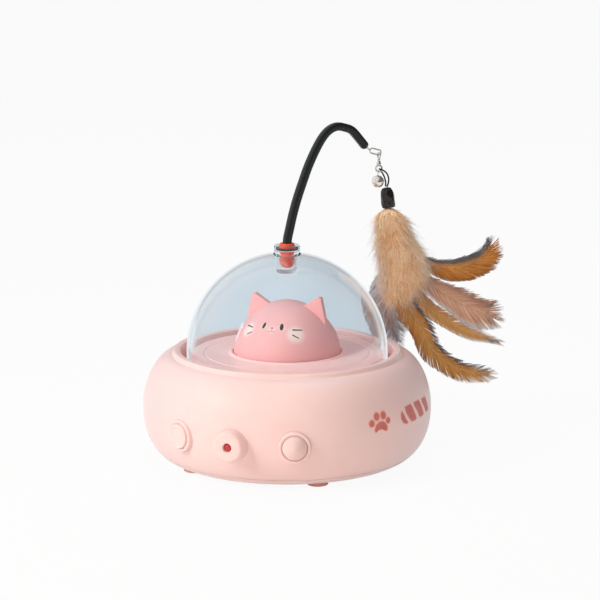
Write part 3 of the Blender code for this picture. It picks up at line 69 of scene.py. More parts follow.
def makeCamera(values):
    turn = math.radians(values["azimuth"])
    rise = math.radians(values["elevation"])
    back = Vector((math.sin(turn) * math.cos(rise), -math.cos(turn) * math.cos(rise),
        math.sin(rise)))
    right = Vector((math.cos(turn), math.sin(turn), 0))
    focus = Vector((0, 0, values["focusLevel"]))
    pixel = values["distance"] / values["focalPixels"]
    target = (focus + right * values["pixelsRight"] * pixel
        + back.cross(right) * values["pixelsUp"] * pixel)
    place = focus + back * values["distance"]
    data = bpy.data.cameras.new("camera")
    data.sensor_width = values["sensorWidth"]
    data.lens = values["focalPixels"] * values["sensorWidth"] / values["frameWidth"]
    data.clip_end = 50
    scene.camera = linkObject("camera", data)
    aim(scene.camera, place, target)


makeCamera(cameraSettings)
print("camera placed")


# Shared pieces of shader trees

def linear(red, green, blue):
    # a display colour, 0 to 255, as the light value that Blender wants
    def decode(value):
        value = value / 255
        return value / 12.92 if value <= 0.04045 else ((value + 0.055) / 1.055) ** 2.4
    return (decode(red), decode(green), decode(blue), 1)


def fill(tree, sockets, values):
    # each value is a number, a colour or the socket that it comes from
    for label, value in values.items():
        if isinstance(value, bpy.types.NodeSocket):
            tree.links.new(value, sockets[label])
        else:
            sockets[label].default_value = value


def addNode(tree, kind, values=None, **settings):
    node = tree.nodes.new(kind)
    for key, value in settings.items():
        setattr(node, key, value)
    fill(tree, node.inputs, values or {})
    return node


def outOf(tree, kind, values=None, **settings):
    return addNode(tree, kind, values, **settings).outputs[0]


def mathNode(tree, operation, first, second=0.0, third=0.0):
    return outOf(tree, "ShaderNodeMath", {0: first, 1: second, 2: third}, operation=operation)


def times(tree, first, second):
    return mathNode(tree, "MULTIPLY", first, second)


def timesPlus(tree, first, second, third):
    return mathNode(tree, "MULTIPLY_ADD", first, second, third)


def minus(tree, first, second):
    return mathNode(tree, "SUBTRACT", first, second)


def mixColours(tree, factor, first, second, blend="MIX"):
    return addNode(tree, "ShaderNodeMix", {0: factor, 6: first, 7: second}, data_type="RGBA",
        blend_type=blend).outputs[2]


def mixShaders(tree, factor, first, second):
    return outOf(tree, "ShaderNodeMixShader", {0: factor, 1: first, 2: second})


def spread(tree, value, low, high, start=0.0, end=1.0):
    return outOf(tree, "ShaderNodeMapRange", {0: value, 1: low, 2: high, 3: start, 4: end},
        interpolation_type="SMOOTHSTEP")


def noiseAt(tree, place, scale, detail=2.0, rough=0.5, twist=0.0):
    return outOf(tree, "ShaderNodeTexNoise",
        {"Vector": place, "Scale": scale, "Detail": detail, "Roughness": rough,
        "Distortion": twist})


def vectorOf(tree, x=0.0, y=0.0, z=0.0):
    return outOf(tree, "ShaderNodeCombineXYZ", {"X": x, "Y": y, "Z": z})


def objectPlace(tree):
    return addNode(tree, "ShaderNodeTexCoord").outputs["Object"]


def readValue(tree, name):
    return addNode(tree, "ShaderNodeAttribute", attribute_name=name).outputs["Fac"]


def newMaterial(name):
    material = bpy.data.materials.new(name)
    material.use_nodes = True
    return material, material.node_tree, material.node_tree.nodes["Principled BSDF"]


def showSurface(tree, shader):
    tree.links.new(shader, tree.nodes["Material Output"].inputs["Surface"])


def newGroup(name, inputs):
    # takes colours and numbers, and puts out a colour, a roughness and a height
    group = bpy.data.node_groups.new(name, "ShaderNodeTree")
    for label, value in inputs.items():
        kind = "Color" if isinstance(value, tuple) else "Float"
        socket = group.interface.new_socket(label, in_out="INPUT", socket_type="NodeSocket" + kind)
        socket.default_value = value
    for label, kind in (("Colour", "Color"), ("Roughness", "Float"), ("Height", "Float")):
        group.interface.new_socket(label, in_out="OUTPUT", socket_type="NodeSocket" + kind)
    return (group, group.nodes.new("NodeGroupInput").outputs,
        group.nodes.new("NodeGroupOutput").inputs, objectPlace(group))


def makeMouldedSkin():
    # soft mottling, slow changes of gloss, fine grain and faint flow lines
    group, entry, leave, place = newGroup("mouldedSkin",
        {"Colour": (0.8, 0.6, 0.6, 1), "Shade": (0.7, 0.5, 0.5, 1), "Mottle": 0.25,
        "Patch": 45.0, "Gloss": 0.3, "Gloss Spread": 0.08, "Grain": 2600.0, "Speck": 0.0})
    slow = spread(group, noiseAt(group, place, entry["Patch"], 3.0, 0.55), 0.35, 0.7)
    colour = mixColours(group, times(group, slow, entry["Mottle"]), entry["Colour"],
        entry["Shade"])
    dust = spread(group, noiseAt(group, place, 2100.0, 1.0), 0.70, 0.78)
    smear = minus(group, noiseAt(group, place, 160.0, 4.0, 0.6, 0.6), 0.5)
    broad = noiseAt(group, place, 220.0, 2.0, 0.4)
    fine = noiseAt(group, place, entry["Grain"], 2.0, 0.6)
    fill(group, leave, {"Colour": mixColours(group, times(group, dust, entry["Speck"]), colour,
        entry["Shade"]), "Roughness": timesPlus(group, smear, entry["Gloss Spread"],
        entry["Gloss"]), "Height": timesPlus(group, broad, 0.6, fine)})
    return group


def makePlatedSkin():
    # drawn and plated metal: fine marks along the piece and dull patches
    group, entry, leave, place = newGroup("platedSkin",
        {"Colour": (0.6, 0.6, 0.6, 1), "Tarnish": (0.4, 0.38, 0.35, 1), "Wear": 0.35,
        "Gloss": 0.2, "Gloss Spread": 0.2, "Grain": 1500.0})
    patch = spread(group, noiseAt(group, place, 420.0, 4.0, 0.65), 0.42, 0.72)
    fill(group, leave, {"Colour": mixColours(group, times(group, patch, entry["Wear"]),
        entry["Colour"], entry["Tarnish"]), "Roughness": timesPlus(group, patch,
        entry["Gloss Spread"], entry["Gloss"]),
        "Height": noiseAt(group, place, entry["Grain"], 3.0, 0.7)})
    return group


mouldedSkin = makeMouldedSkin()
platedSkin = makePlatedSkin()


def skinMaterial(name, group, values, bump, shader=None):
    material, tree, surface = newMaterial(name)
    skin = addNode(tree, "ShaderNodeGroup", values, node_tree=group).outputs
    relief = outOf(tree, "ShaderNodeBump",
        {"Strength": 1.0, "Distance": bump, "Height": skin["Height"]})
    fill(tree, surface.inputs, {"Base Color": skin["Colour"], "Roughness": skin["Roughness"],
        "Normal": relief, **(shader or {})})
    return material


def moulded(name, colour, shade, gloss, bump=0.000004, shader=None, **more):
    values = {"Colour": linear(*colour), "Shade": linear(*shade), "Gloss": gloss}
    values.update({label.replace("_", " "): value for label, value in more.items()})
    return skinMaterial(name, mouldedSkin, values, bump, shader)


def plated(name, colour, tarnish, gloss, wear=0.35):
    values = {"Colour": linear(*colour), "Tarnish": linear(*tarnish), "Gloss": gloss,
        "Wear": wear}
    return skinMaterial(name, platedSkin, values, 0.000003, {"Metallic": 1.0})


def soft(weight, radius):
    # light that goes a little way into the plastic
    return {"Subsurface Weight": weight, "Subsurface Radius": radius, "Subsurface Scale": 1.0}


finishes = {
    "shell": moulded("shellPink", (250, 220, 218), (246, 208, 206), 0.36, Gloss_Spread=0.10,
        Patch=28.0, Mottle=0.35, shader={**soft(0.10, (0.004, 0.0018, 0.0014)),
        "Coat Weight": 0.10, "Coat Roughness": 0.25}),
    "head": moulded("headRose", (252, 192, 194), (248, 178, 182), 0.42, Patch=70.0,
        shader=soft(0.10, (0.003, 0.0012, 0.001))),
    # the disc's emission is painted light: a faint pink glow that brightens it behind the dome
    "disc": moulded("discBeige", (252, 220, 216), (246, 206, 202), 0.30, Patch=90.0, Mottle=0.55,
        Speck=0.25, shader={"Coat Weight": 0.15, "Coat Roughness": 0.15,
        "Emission Color": linear(255, 150, 150), "Emission Strength": 0.12}),
    "lens": moulded("lensMilk", (248, 214, 209), (238, 196, 192), 0.26, Patch=220.0,
        shader=soft(0.25, (0.003, 0.0018, 0.0015))),
    "foot": moulded("footRubber", (222, 172, 160), (196, 146, 136), 0.75, bump=0.00002,
        Grain=1400.0),
    "white": moulded("whiteNylon", (236, 233, 226), (220, 216, 206), 0.48),
    "gear": moulded("gearNylon", (240, 237, 224), (222, 216, 196), 0.42),
    "black": moulded("blackMoulding", (34, 34, 35), (22, 22, 23), 0.50),
    "rubber": moulded("sealRubber", (26, 26, 27), (40, 40, 41), 0.62, bump=0.00001),
    "board": moulded("greenBoard", (26, 98, 52), (16, 74, 38), 0.38, Patch=420.0, Mottle=0.8,
        Speck=0.6, bump=0.00001),
    "cell": moulded("cellWrap", (44, 96, 168), (30, 74, 138), 0.30, Patch=120.0),
    "lead": moulded("leadSleeve", (162, 26, 24), (120, 16, 18), 0.50),
    "plug": moulded("plugOrange", (240, 92, 56), (206, 62, 38), 0.38, Patch=260.0, Mottle=0.6,
        bump=0.000008),
    "rod": moulded("rodBlack", (24, 28, 29), (15, 17, 18), 0.30, Patch=300.0, bump=0.000008,
        Gloss_Spread=0.16, Grain=1500.0, shader={"Specular IOR Level": 0.30}),
    "red": moulded("lensRed", (196, 18, 30), (120, 6, 16), 0.12, Patch=600.0,
        shader={"Coat Weight": 0.8, "Coat Roughness": 0.05}),
    "cap": moulded("capDark", (30, 18, 15), (14, 9, 8), 0.10, Patch=420.0, Mottle=0.9,
        bump=0.000010, Grain=700.0, shader={"Specular IOR Level": 0.42}),
    "cord": moulded("cordBlack", (34, 30, 29), (58, 52, 48), 0.72, Patch=900.0, Mottle=0.7,
        bump=0.00003, Grain=5200.0),
    "eyeInk": moulded("eyeInk", (30, 18, 18), (22, 13, 13), 0.45,
        shader={"Specular IOR Level": 0.2}),
    "noseInk": moulded("noseInk", (206, 122, 138), (190, 104, 122), 0.45),
    "print": moulded("printSalmon", (214, 124, 118), (200, 104, 100), 0.48, Patch=260.0,
        Mottle=0.6),
    "printEdge": moulded("printEdge", (250, 186, 172), (246, 174, 160), 0.45, Patch=260.0),
    "steel": plated("platedSteel", (208, 206, 202), (150, 144, 134), 0.16),
    "silver": plated("bellSilver", (236, 228, 220), (186, 160, 140), 0.09, wear=0.25),
    "can": plated("motorCan", (176, 178, 180), (130, 128, 124), 0.26),
}


def makeClearPlastic(name, values):
    # polished clear plastic: plain transmission, with a varying tint and roughness
    material, tree, surface = newMaterial(name)
    place = objectPlace(tree)
    cloud = spread(tree, noiseAt(tree, place, 38.0, 3.0), 0.35, 0.65)
    smear = noiseAt(tree, place, 120.0, 4.0, 0.6, 0.8)
    fill(tree, surface.inputs, {"Transmission Weight": 1.0, "Metallic": 0.0,
        "IOR": values["ior"], "Base Color": mixColours(tree, cloud, values["tint"],
        values["tintDeep"]), "Roughness": spread(tree, smear, 0.45, 0.75, values["roughLow"],
        values["roughHigh"])})
    # a painted reflection: the dome's rim glows pale where its surface turns away from the camera
    facing = addNode(tree, "ShaderNodeLayerWeight", {"Blend": 0.5}).outputs["Facing"]
    rim = times(tree, spread(tree, facing, values["rimStart"], 0.90), values["rimShare"])
    paintedRimGlow = outOf(tree, "ShaderNodeEmission", {"Color": values["paintedRimColour"], "Strength": 1.0})
    edged = mixShaders(tree, rim, surface.outputs[0], paintedRimGlow)
    # light from the lamps goes straight through, so what stands inside isn't in the dark
    path = addNode(tree, "ShaderNodeLightPath").outputs
    passes = mathNode(tree, "MAXIMUM", path["Is Shadow Ray"], path["Is Diffuse Ray"])
    clear = outOf(tree, "ShaderNodeBsdfTransparent", {"Color": values["passing"]})
    showSurface(tree, mixShaders(tree, passes, edged, clear))
    return material


clearPlastic = makeClearPlastic("domeClear",
    {"ior": 1.45, "tint": linear(250, 253, 254), "tintDeep": linear(247, 251, 253),
    "roughLow": 0.0, "roughHigh": 0.015, "rimStart": 0.62, "rimShare": 0.92,
    "paintedRimColour": linear(236, 242, 246), "passing": (0.97, 0.98, 0.99, 1)})
print("finishes made")


# Making meshes and pieces

def dressPiece(piece, body, replaced=()):
    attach(piece, body)
    if replaced:
        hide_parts(*replaced)


def smooth(mesh, sharp=35):
    mesh.shade_smooth()
    mesh.set_sharp_from_angle(angle=math.radians(sharp))


def meshObject(maker, name, material, place=None, sharp=35):
    if place is not None:
        bmesh.ops.transform(maker, matrix=place, verts=maker.verts)
    bmesh.ops.recalc_face_normals(maker, faces=maker.faces)
    mesh = bpy.data.meshes.new(name)
    maker.to_mesh(mesh)
    maker.free()
    mesh.materials.append(material)
    smooth(mesh, sharp)
    return linkObject(name, mesh)


def addMesh(maker, other, place):
    # moves another maker's mesh into this one
    bmesh.ops.transform(other, matrix=place, verts=other.verts)
    spare = bpy.data.meshes.new("spare")
    other.to_mesh(spare)
    other.free()
    maker.from_mesh(spare)


def turned(degrees, axis="Z"):
    return Matrix.Rotation(math.radians(degrees), 4, axis)


def roundedPath(corners, steps=5):
    # corners are (radius, level) or (radius, level, fillet), ends stay as they are
    path = []
    for place, corner in enumerate(corners):
        fillet = corner[2] if len(corner) > 2 else 0
        here = Vector(corner[:2])
        if not fillet or place in (0, len(corners) - 1):
            path.append(tuple(here))
            continue
        before = Vector(corners[place - 1][:2]) - here
        after = Vector(corners[place + 1][:2]) - here
        first = here + before.normalized() * min(fillet, before.length * 0.5)
        last = here + after.normalized() * min(fillet, after.length * 0.5)
        for step in range(steps + 1):
            share = step / steps
            path.append(tuple(first * (1 - share) ** 2 + here * 2 * share * (1 - share)
                + last * share ** 2))
    return path


def swellCurve(wide, tip, wideLevel, tipLevel, endLevel, fullness, steps):
    # the housing's and the head's curve, from the widest level to endLevel
    reach = abs(endLevel - wideLevel) / abs(tipLevel - wideLevel)
    last = math.asin(min(reach ** (fullness / 2), 1))
    points = []
    for step in range(steps + 1):
        turn = last * step / steps
        points.append((tip + (wide - tip) * max(math.cos(turn), 0) ** (2 / fullness),
            wideLevel + (tipLevel - wideLevel) * math.sin(turn) ** (2 / fullness)))
    return points


def arcPath(radius, start, end, steps, centre=(0, 0)):
    turns = [math.radians(start + (end - start) * step / steps) for step in range(steps + 1)]
    return [(centre[0] + radius * math.cos(turn), centre[1] + radius * math.sin(turn))
        for turn in turns]


def joinRings(maker, rings, closed=False):
    # walls between neighbouring rings, of which some are a single point
    for ring, following in zip(rings, rings[1:] + rings[:1] * closed):
        steps = max(len(ring), len(following))
        for step in range(steps if steps > 1 else 0):
            beside = (step + 1) % steps
            corners = [ring[step % len(ring)], ring[beside % len(ring)],
                following[beside % len(following)], following[step % len(following)]]
            maker.faces.new(list(dict.fromkeys(corners)))
    return maker


def lathe(path, steps, closed=False):
    maker = bmesh.new()
    rings = []
    for radius, level in path:
        corners = [(0, 0)] if radius < 1e-6 else circleSection(steps)
        rings.append([maker.verts.new((radius * x, radius * y, level)) for x, y in corners])
    return joinRings(maker, rings, closed)


def cylinder(radius, low, high, steps):
    return lathe([(0, low), (radius, low), (radius, high), (0, high)], steps)


def prism(outline, near, far):
    # an outline of (x, z) corners that stands between two distances in y
    maker = bmesh.new()
    rings = [[maker.verts.new((x, y, z)) for x, z in outline] for y in (near, far)]
    for ring in rings:
        maker.faces.new(ring)
    return joinRings(maker, rings)


def boxTool(name, material, place, size):
    maker = bmesh.new()
    bmesh.ops.create_cube(maker, size=1, matrix=place @ Matrix.Diagonal((*size, 1)))
    return meshObject(maker, name, material)


def smoothRoute(points, pieces):
    route = []
    ends = [points[0] * 2 - points[1]] + points + [points[-1] * 2 - points[-2]]
    for one, two, three, four in zip(ends, ends[1:], ends[2:], ends[3:]):
        for piece in range(pieces):
            share = piece / pieces
            route.append(0.5 * (two * 2 + (three - one) * share
                + (one * 2 - two * 5 + three * 4 - four) * share ** 2
                + (two * 3 - one - three * 3 + four) * share ** 3))
    return route + [points[-1]]


def circleSection(sides):
    return [(math.cos(math.tau * side / sides), math.sin(math.tau * side / sides))
        for side in range(sides)]


def squareSection(sides, power):
    # a rounded square whose sides stand one unit from its middle
    return [(math.copysign(abs(x) ** (2 / power), x), math.copysign(abs(y) ** (2 / power), y))
        for x, y in circleSection(sides)]


def courseAt(route, place, closed=False):
    before, after = place - 1, place + 1
    if not closed:
        before, after = max(before, 0), min(after, len(route) - 1)
    return (route[after % len(route)] - route[before]).normalized()


def sweep(maker, route, sizes, section, across=None, closed=False):
    # carries the section along the route, with a size for each of its points
    rings = []
    if not isinstance(sizes, list):
        sizes = [sizes] * len(route)
    for place, point in enumerate(route):
        along = courseAt(route, place, closed)
        across = across or along.orthogonal()
        across = (across - along * across.dot(along)).normalized()
        other = along.cross(across)
        rings.append([maker.verts.new(point + (across * x + other * y) * sizes[place])
            for x, y in section])
    if not closed:
        maker.faces.new(rings[0])
        maker.faces.new(rings[-1])
    return joinRings(maker, rings, closed)


def workedOut(piece):
    # the piece's mesh with its modifiers applied
    bpy.context.view_layer.update()
    graph = bpy.context.evaluated_depsgraph_get()
    mesh = bpy.data.meshes.new_from_object(piece.evaluated_get(graph))
    piece.modifiers.clear()
    return mesh


def remove(*pieces):
    for piece in pieces:
        bpy.data.objects.remove(piece, do_unlink=True)


def cutWith(target, tools, operation="DIFFERENCE"):
    for tool in tools:
        modifier = target.modifiers.new("cut", "BOOLEAN")
        modifier.operation = operation
        modifier.solver = "EXACT"
        modifier.object = tool
    target.data = workedOut(target)
    smooth(target.data)
    remove(*tools)


def useSurfaceNormals(piece, normalAt):
    # faces that lie on the drawn surface shade as that surface does
    mesh = piece.data
    normals = [(0, 0, 0)] * len(mesh.loops)
    for face in mesh.polygons:
        if normalAt(face.center) is None or normalAt(face.center).dot(face.normal) < 0.9:
            continue
        for loop in face.loop_indices:
            normals[loop] = normalAt(mesh.vertices[mesh.loops[loop].vertex_index].co, True)
    mesh.normals_split_custom_set(normals)


def around(angle, radius, level):
    # angles run round the object from its front
    turn = math.radians(angle)
    return Vector((radius * math.sin(turn), -radius * math.cos(turn), level))


def radialFrame(angle, level):
    outward = around(angle, 1, 0)
    place = Matrix((upward.cross(outward), upward, outward)).transposed().to_4x4()
    place.translation = (0, 0, level)
    return place


def leaning(outward, slope):
    return outward * slope.x + upward * slope.z


def sideAt(above, height, wide, tip, power):
    # radius and outward slope of a swelling side, above or below its widest level
    rise = min(abs(above) / abs(height), 1)
    share = max(1 - rise ** power, 0) ** (1 / power)
    slope = Vector((share ** (power - 1) / (wide - tip), 0, rise ** (power - 1) / height))
    return tip + (wide - tip) * share, slope.normalized()


def onSide(side, radius, across, level):
    # point and normal of a side, across being measured round it from the front
    angle = math.degrees(across / radius)
    reach, slope = side(level)
    return around(angle, reach, level), leaning(around(angle, 1, 0), slope)


# Housing

housing = {
    "bodyRadius": 0.0833, "widestLevel": 0.030, "undersideRadius": 0.0628,
    "shoulderRadius": 0.0665, "shoulderLevel": 0.0598, "upperFullness": 1.85,
    "lowerFullness": 2.2, "wall": 0.0022, "seamLevel": 0.005, "seamGap": 0.00006,
    "seamRound": 0.00014, "lipTop": 0.0625, "lipFoot": 0.0662, "lipShoulder": 0.0655,
    "wellRadius": 0.0613, "wellWall": 0.0018, "wellFloor": 0.050, "wellFloorThick": 0.002,
    "bushHole": 0.0120, "controlLevel": 0.026, "holeRadius": 0.00905, "slotWidth": 0.0096,
    "slotHeight": 0.0038, "slotLevel": 0.0181, "steps": 192, "toolReach": 0.09,
    "holeStart": 0.076, "slotStart": 0.074,
}
controlAngles = {"power": -24, "lamp": 0, "sensor": 24}


def housingSide(level, values=housing):
    middle = values["widestLevel"]
    above = (values["shoulderLevel"], values["shoulderRadius"], values["upperFullness"])
    below = (0.0, values["undersideRadius"], values["lowerFullness"])
    end, tip, power = above if level >= middle else below
    return sideAt(level - middle, end - middle, values["bodyRadius"], tip, power)


def housingNormal(point, certain=False):
    drawn, slope = housingSide(point.z)
    if not certain and (abs(math.hypot(point.x, point.y) - drawn) > 0.0004 or point.z > 0.0596):
        return None
    return leaning(Vector((point.x, point.y, 0)).normalized(), slope)


def outerPath(values, low, inset, steps):
    lower = swellCurve(values["bodyRadius"] - inset, values["undersideRadius"],
        values["widestLevel"], inset, low, values["lowerFullness"], steps)
    upper = swellCurve(values["bodyRadius"] - inset, values["shoulderRadius"],
        values["widestLevel"], values["shoulderLevel"] - inset, values["shoulderLevel"] - inset,
        values["upperFullness"], steps)
    return lower[::-1] + upper[1:]


def makeHousing(values):
    steps = values["steps"]
    low = values["seamLevel"] + values["seamGap"]
    outside = outerPath(values, low, 0, 30)
    firstRadius = outside[0][0]
    outside = [point for point in outside if point[1] > low + values["seamRound"]]
    top = values["shoulderLevel"]
    collar = roundedPath([outside[-2], (values["lipFoot"], top, 0.0016),
        (values["lipShoulder"], values["lipTop"], 0.0011),
        (values["wellRadius"], values["lipTop"] - 0.0003, 0.0012),
        (values["wellRadius"], values["wellFloor"], 0.0008),
        (values["bushHole"], values["wellFloor"]),
        (values["bushHole"], values["wellFloor"] - values["wellFloorThick"]),
        (values["wellRadius"] + values["wellWall"],
        values["wellFloor"] - values["wellFloorThick"]),
        (values["wellRadius"] + values["wellWall"], top - values["wall"])], 8)
    inside = outerPath(values, low, values["wall"], 8)[::-1]
    edge = [(firstRadius - values["seamRound"], low)]
    path = edge + outside[:-2] + collar + inside
    shell = meshObject(lathe(path, steps, closed=True), "shellTop", finishes["shell"])
    reach = values["toolReach"]
    tools = [meshObject(cylinder(values["holeRadius"], values["holeStart"], reach, 72), "hole",
        finishes["shell"], radialFrame(angle, values["controlLevel"]))
        for angle in controlAngles.values()]
    half = values["slotHeight"] / 2
    span = values["slotWidth"] / 2 - half
    outline = [(shift + x, values["slotLevel"] + y)
        for shift, start in ((span, -90), (-span, 90))
        for x, y in arcPath(half, start, start + 180, 10)]
    tools.append(meshObject(prism(outline, values["slotStart"], reach), "slot", finishes["shell"]))
    cutWith(shell, tools)
    useSurfaceNormals(shell, housingNormal)
    dressPiece(shell, "base", ["upper_shell"])


makeHousing(housing)
print("housing made")


# Bottom cover, feet and housing screws

coverSettings = {"floor": 0.0024, "footCircle": 0.062, "footRadius": 0.0063, "footSeat": 0.0032,
    "screwCircle": 0.054, "screwHole": 0.0031, "screwSeat": 0.0021,
    "toolLow": -0.004, "padLow": 0.0016, "padMargin": 0.0015, "footPadTop": 0.0044,
    "screwPad": 0.0045, "screwPadTop": 0.005}
footSettings = {"top": 0.0029, "radius": 0.0060, "low": -0.0015, "tread": 0.0044,
    "dish": 0.0042, "dishLevel": -0.0012}
footAngles = (37, -37, 143, -143)
screwAngles = (45, -45, 135, -135)


def makeCover(values):
    high = housing["seamLevel"] - housing["seamGap"]
    lower = swellCurve(housing["bodyRadius"], housing["undersideRadius"], housing["widestLevel"],
        0, high, housing["lowerFullness"], 6)
    allPoints = swellCurve(housing["bodyRadius"], housing["undersideRadius"],
        housing["widestLevel"], 0, 0, housing["lowerFullness"], 60)
    outside = [lower[-1]] + [point for point in allPoints if point[1] < high]
    rim = roundedPath([(outside[0][0] - housing["wall"], high), (outside[0][0], high, 0.0004),
        outside[1]], 4)
    path = ([(0, values["floor"]),
        (housing["undersideRadius"] - housing["wall"], values["floor"])] + rim
        + outside[2:] + [(0.0528, 0), (0.0520, 0), (0, 0)])
    cover = meshObject(lathe(path, housing["steps"]), "coverBottom", finishes["shell"])

    def discs(name, low, sizes):
        return [meshObject(cylinder(radius, low, high, 48), name, finishes["shell"],
            Matrix.Translation(around(angle, circle, 0)))
            for angles, circle, radius, high in sizes for angle in angles]

    foot, screw = (footAngles, values["footCircle"]), (screwAngles, values["screwCircle"])
    seats = discs("seat", values["toolLow"], ((*foot, values["footRadius"], values["footSeat"]),
        (*screw, values["screwHole"], values["screwSeat"])))
    pads = discs("pad", values["padLow"],
        ((*foot, values["footRadius"] + values["padMargin"], values["footPadTop"]),
        (*screw, values["screwPad"], values["screwPadTop"])))
    cutWith(cover, pads, "UNION")
    cutWith(cover, seats)
    dressPiece(cover, "base", ["bottom_cover"])


def makeFeet(values):
    top, low, dish = values["top"], values["low"], values["dishLevel"]
    path = roundedPath([(0, top), (values["radius"], top, 0.0002), (values["radius"], low, 0.0008),
        (values["tread"], low, 0.0003), (values["dish"], dish, 0.0003), (0, dish)], 5)
    for number, angle in enumerate(footAngles, 1):
        foot = meshObject(lathe(path, 56), "footPad" + str(number), finishes["foot"],
            Matrix.Translation(around(angle, coverSettings["footCircle"], 0)))
        dressPiece(foot, "base", ["foot_" + str(number)])


makeCover(coverSettings)
makeFeet(footSettings)
print("cover and feet made")


# Geometry Nodes helpers

def newGeometryTree(name, inputs):
    # inputs are label: (socket kind, value)
    tree = bpy.data.node_groups.new(name, "GeometryNodeTree")
    tree.interface.new_socket("Geometry", in_out="OUTPUT", socket_type="NodeSocketGeometry")
    tree.interface.new_socket("Geometry", in_out="INPUT", socket_type="NodeSocketGeometry")
    for label, (kind, value) in inputs.items():
        socket = tree.interface.new_socket(label, in_out="INPUT", socket_type="NodeSocket" + kind)
        if value is not None:
            socket.default_value = value
    return (tree, tree.nodes.new("NodeGroupInput").outputs,
        tree.nodes.new("NodeGroupOutput").inputs)


def closeTree(tree, leave, geometry, material):
    real = outOf(tree, "GeometryNodeRealizeInstances", {0: geometry})
    fill(tree, leave, {"Geometry": outOf(tree, "GeometryNodeSetMaterial",
        {"Geometry": real, "Material": material})})
    return tree


def grow(host, tree, values, name):
    # runs the tree on the host and keeps the result as a plain mesh
    modifier = host.modifiers.new("grow", "NODES")
    modifier.node_group = tree
    for item in tree.interface.items_tree:
        if item.item_type == "SOCKET" and item.in_out == "INPUT" and item.name in values:
            modifier[item.identifier] = values[item.name]
    mesh = workedOut(host)
    remove(host)
    mesh.name = name
    mesh.shade_smooth()
    return linkObject(name, mesh)


def randomFloat(tree, low, high, seed):
    return addNode(tree, "FunctionNodeRandomValue", {2: low, 3: high, 8: seed},
        data_type="FLOAT").outputs[1]


def namedValue(tree, name, kind="FLOAT"):
    return outOf(tree, "GeometryNodeInputNamedAttribute", {"Name": name}, data_type=kind)


def storeValue(tree, geometry, name, value, kind="FLOAT"):
    return outOf(tree, "GeometryNodeStoreNamedAttribute",
        {"Geometry": geometry, "Name": name, "Value": value}, data_type=kind, domain="POINT")


def placeShapes(tree, points, shape, rotation, scale):
    geometry = addNode(tree, "GeometryNodeObjectInfo", {"Object": shape}).outputs["Geometry"]
    return outOf(tree, "GeometryNodeInstanceOnPoints",
        {"Points": points, "Instance": geometry, "Rotation": rotation, "Scale": scale})


def eulerTurn(tree, rotation, euler):
    # turns a rotation by the euler angles about its own axes
    return outOf(tree, "FunctionNodeRotateRotation",
        {"Rotation": rotation, "Rotate By": outOf(tree, "FunctionNodeEulerToRotation",
        {0: euler})}, rotation_space="LOCAL")


def joined(tree, parts):
    node = addNode(tree, "GeometryNodeJoinGeometry")
    for part in parts:
        tree.links.new(part, node.inputs[0])
    return node.outputs[0]


def pointsObject(name, points, faces=(), edges=(), attributes=None):
    mesh = bpy.data.meshes.new(name)
    mesh.from_pydata([tuple(point) for point in points], list(edges), list(faces))
    for label, values in (attributes or {}).items():
        vector = not isinstance(values[0], (int, float))
        layer = mesh.attributes.new(label, "FLOAT_VECTOR" if vector else "FLOAT", "POINT")
        flat = [part for value in values for part in value] if vector else values
        layer.data.foreach_set("vector" if vector else "value", flat)
    return linkObject(name, mesh)


def makeScrewTree():
    # one screw shape on every point, turned by the point's own angle
    tree, entry, leave = newGeometryTree("screwRow",
        {"Shape": ("Object", None), "Size": ("Float", 1.0), "Seed": ("Int", 3),
        "Material": ("Material", None)})
    points = outOf(tree, "GeometryNodeMeshToPoints", {"Mesh": entry["Geometry"]})
    angle = vectorOf(tree, z=randomFloat(tree, 0.0, math.tau, entry["Seed"]))
    rows = placeShapes(tree, points, entry["Shape"], angle, entry["Size"])
    return closeTree(tree, leave, rows, entry["Material"])


screwSettings = {"crown": 0.0018, "crownLevel": 0.0004, "head": 0.0028, "headLevel": 0.0009,
    "seat": 0.0018, "shank": 0.0011, "shankEnd": 0.0128, "tip": 0.0138, "slotLevel": 0.0006,
    "slot": (0.0029, 0.0006, 0.0012)}


def makeHousingScrews(values):
    # cross-recessed heads, drawn head down
    head, seat, shank = values["head"], values["seat"], values["shank"]
    maker = lathe(roundedPath([(0, values["crownLevel"]),
        (values["crown"], values["crownLevel"], 0.0002), (head, values["headLevel"], 0.0005),
        (head, seat), (shank, seat), (shank, values["shankEnd"]), (0, values["tip"])], 5), 28)
    shape = meshObject(maker, "screwShape", finishes["steel"])
    cutWith(shape, [boxTool("bar", finishes["steel"],
        turned(turn) @ Matrix.Translation((0, 0, values["slotLevel"])), values["slot"])
        for turn in (0, 90)])
    host = pointsObject("screwPlaces", [around(angle, coverSettings["screwCircle"], 0)
        for angle in screwAngles])
    screws = grow(host, makeScrewTree(), {"Shape": shape, "Size": 1.0, "Seed": 5,
        "Material": finishes["steel"]}, "housingScrews")
    smooth(screws.data)
    remove(shape)
    dressPiece(screws, "base",
        ["housing_screw_" + str(number) for number in (1, 2, 3, 4)])


makeHousingScrews(screwSettings)
print("screws made")


# Turntable disc, clear dome and its seal

discSettings = {"level": 0.0603, "edge": 0.0554, "thick": 0.0022, "neck": 0.0543,
    "flangeTop": 0.0559, "flange": 0.0579, "flangeLow": 0.0541, "ring": 0.0523, "recess": 0.0316,
    "recessFloor": 0.0532, "bead": 0.0009, "beadEnd": 0.0334, "under": 0.0514,
    "bore": 0.0065, "tube": 0.0080, "tubeLow": 0.0359, "hub": 0.0090, "hubLow": 0.0450,
    "clipSeat": 0.0073, "clipTop": 0.0404, "clipLow": 0.0390, "groove": 0.0470,
    "grooveFloor": 0.0473, "grooveFloorEnd": 0.0479, "grooveEnd": 0.0482, "grooveDepth": 0.0004}


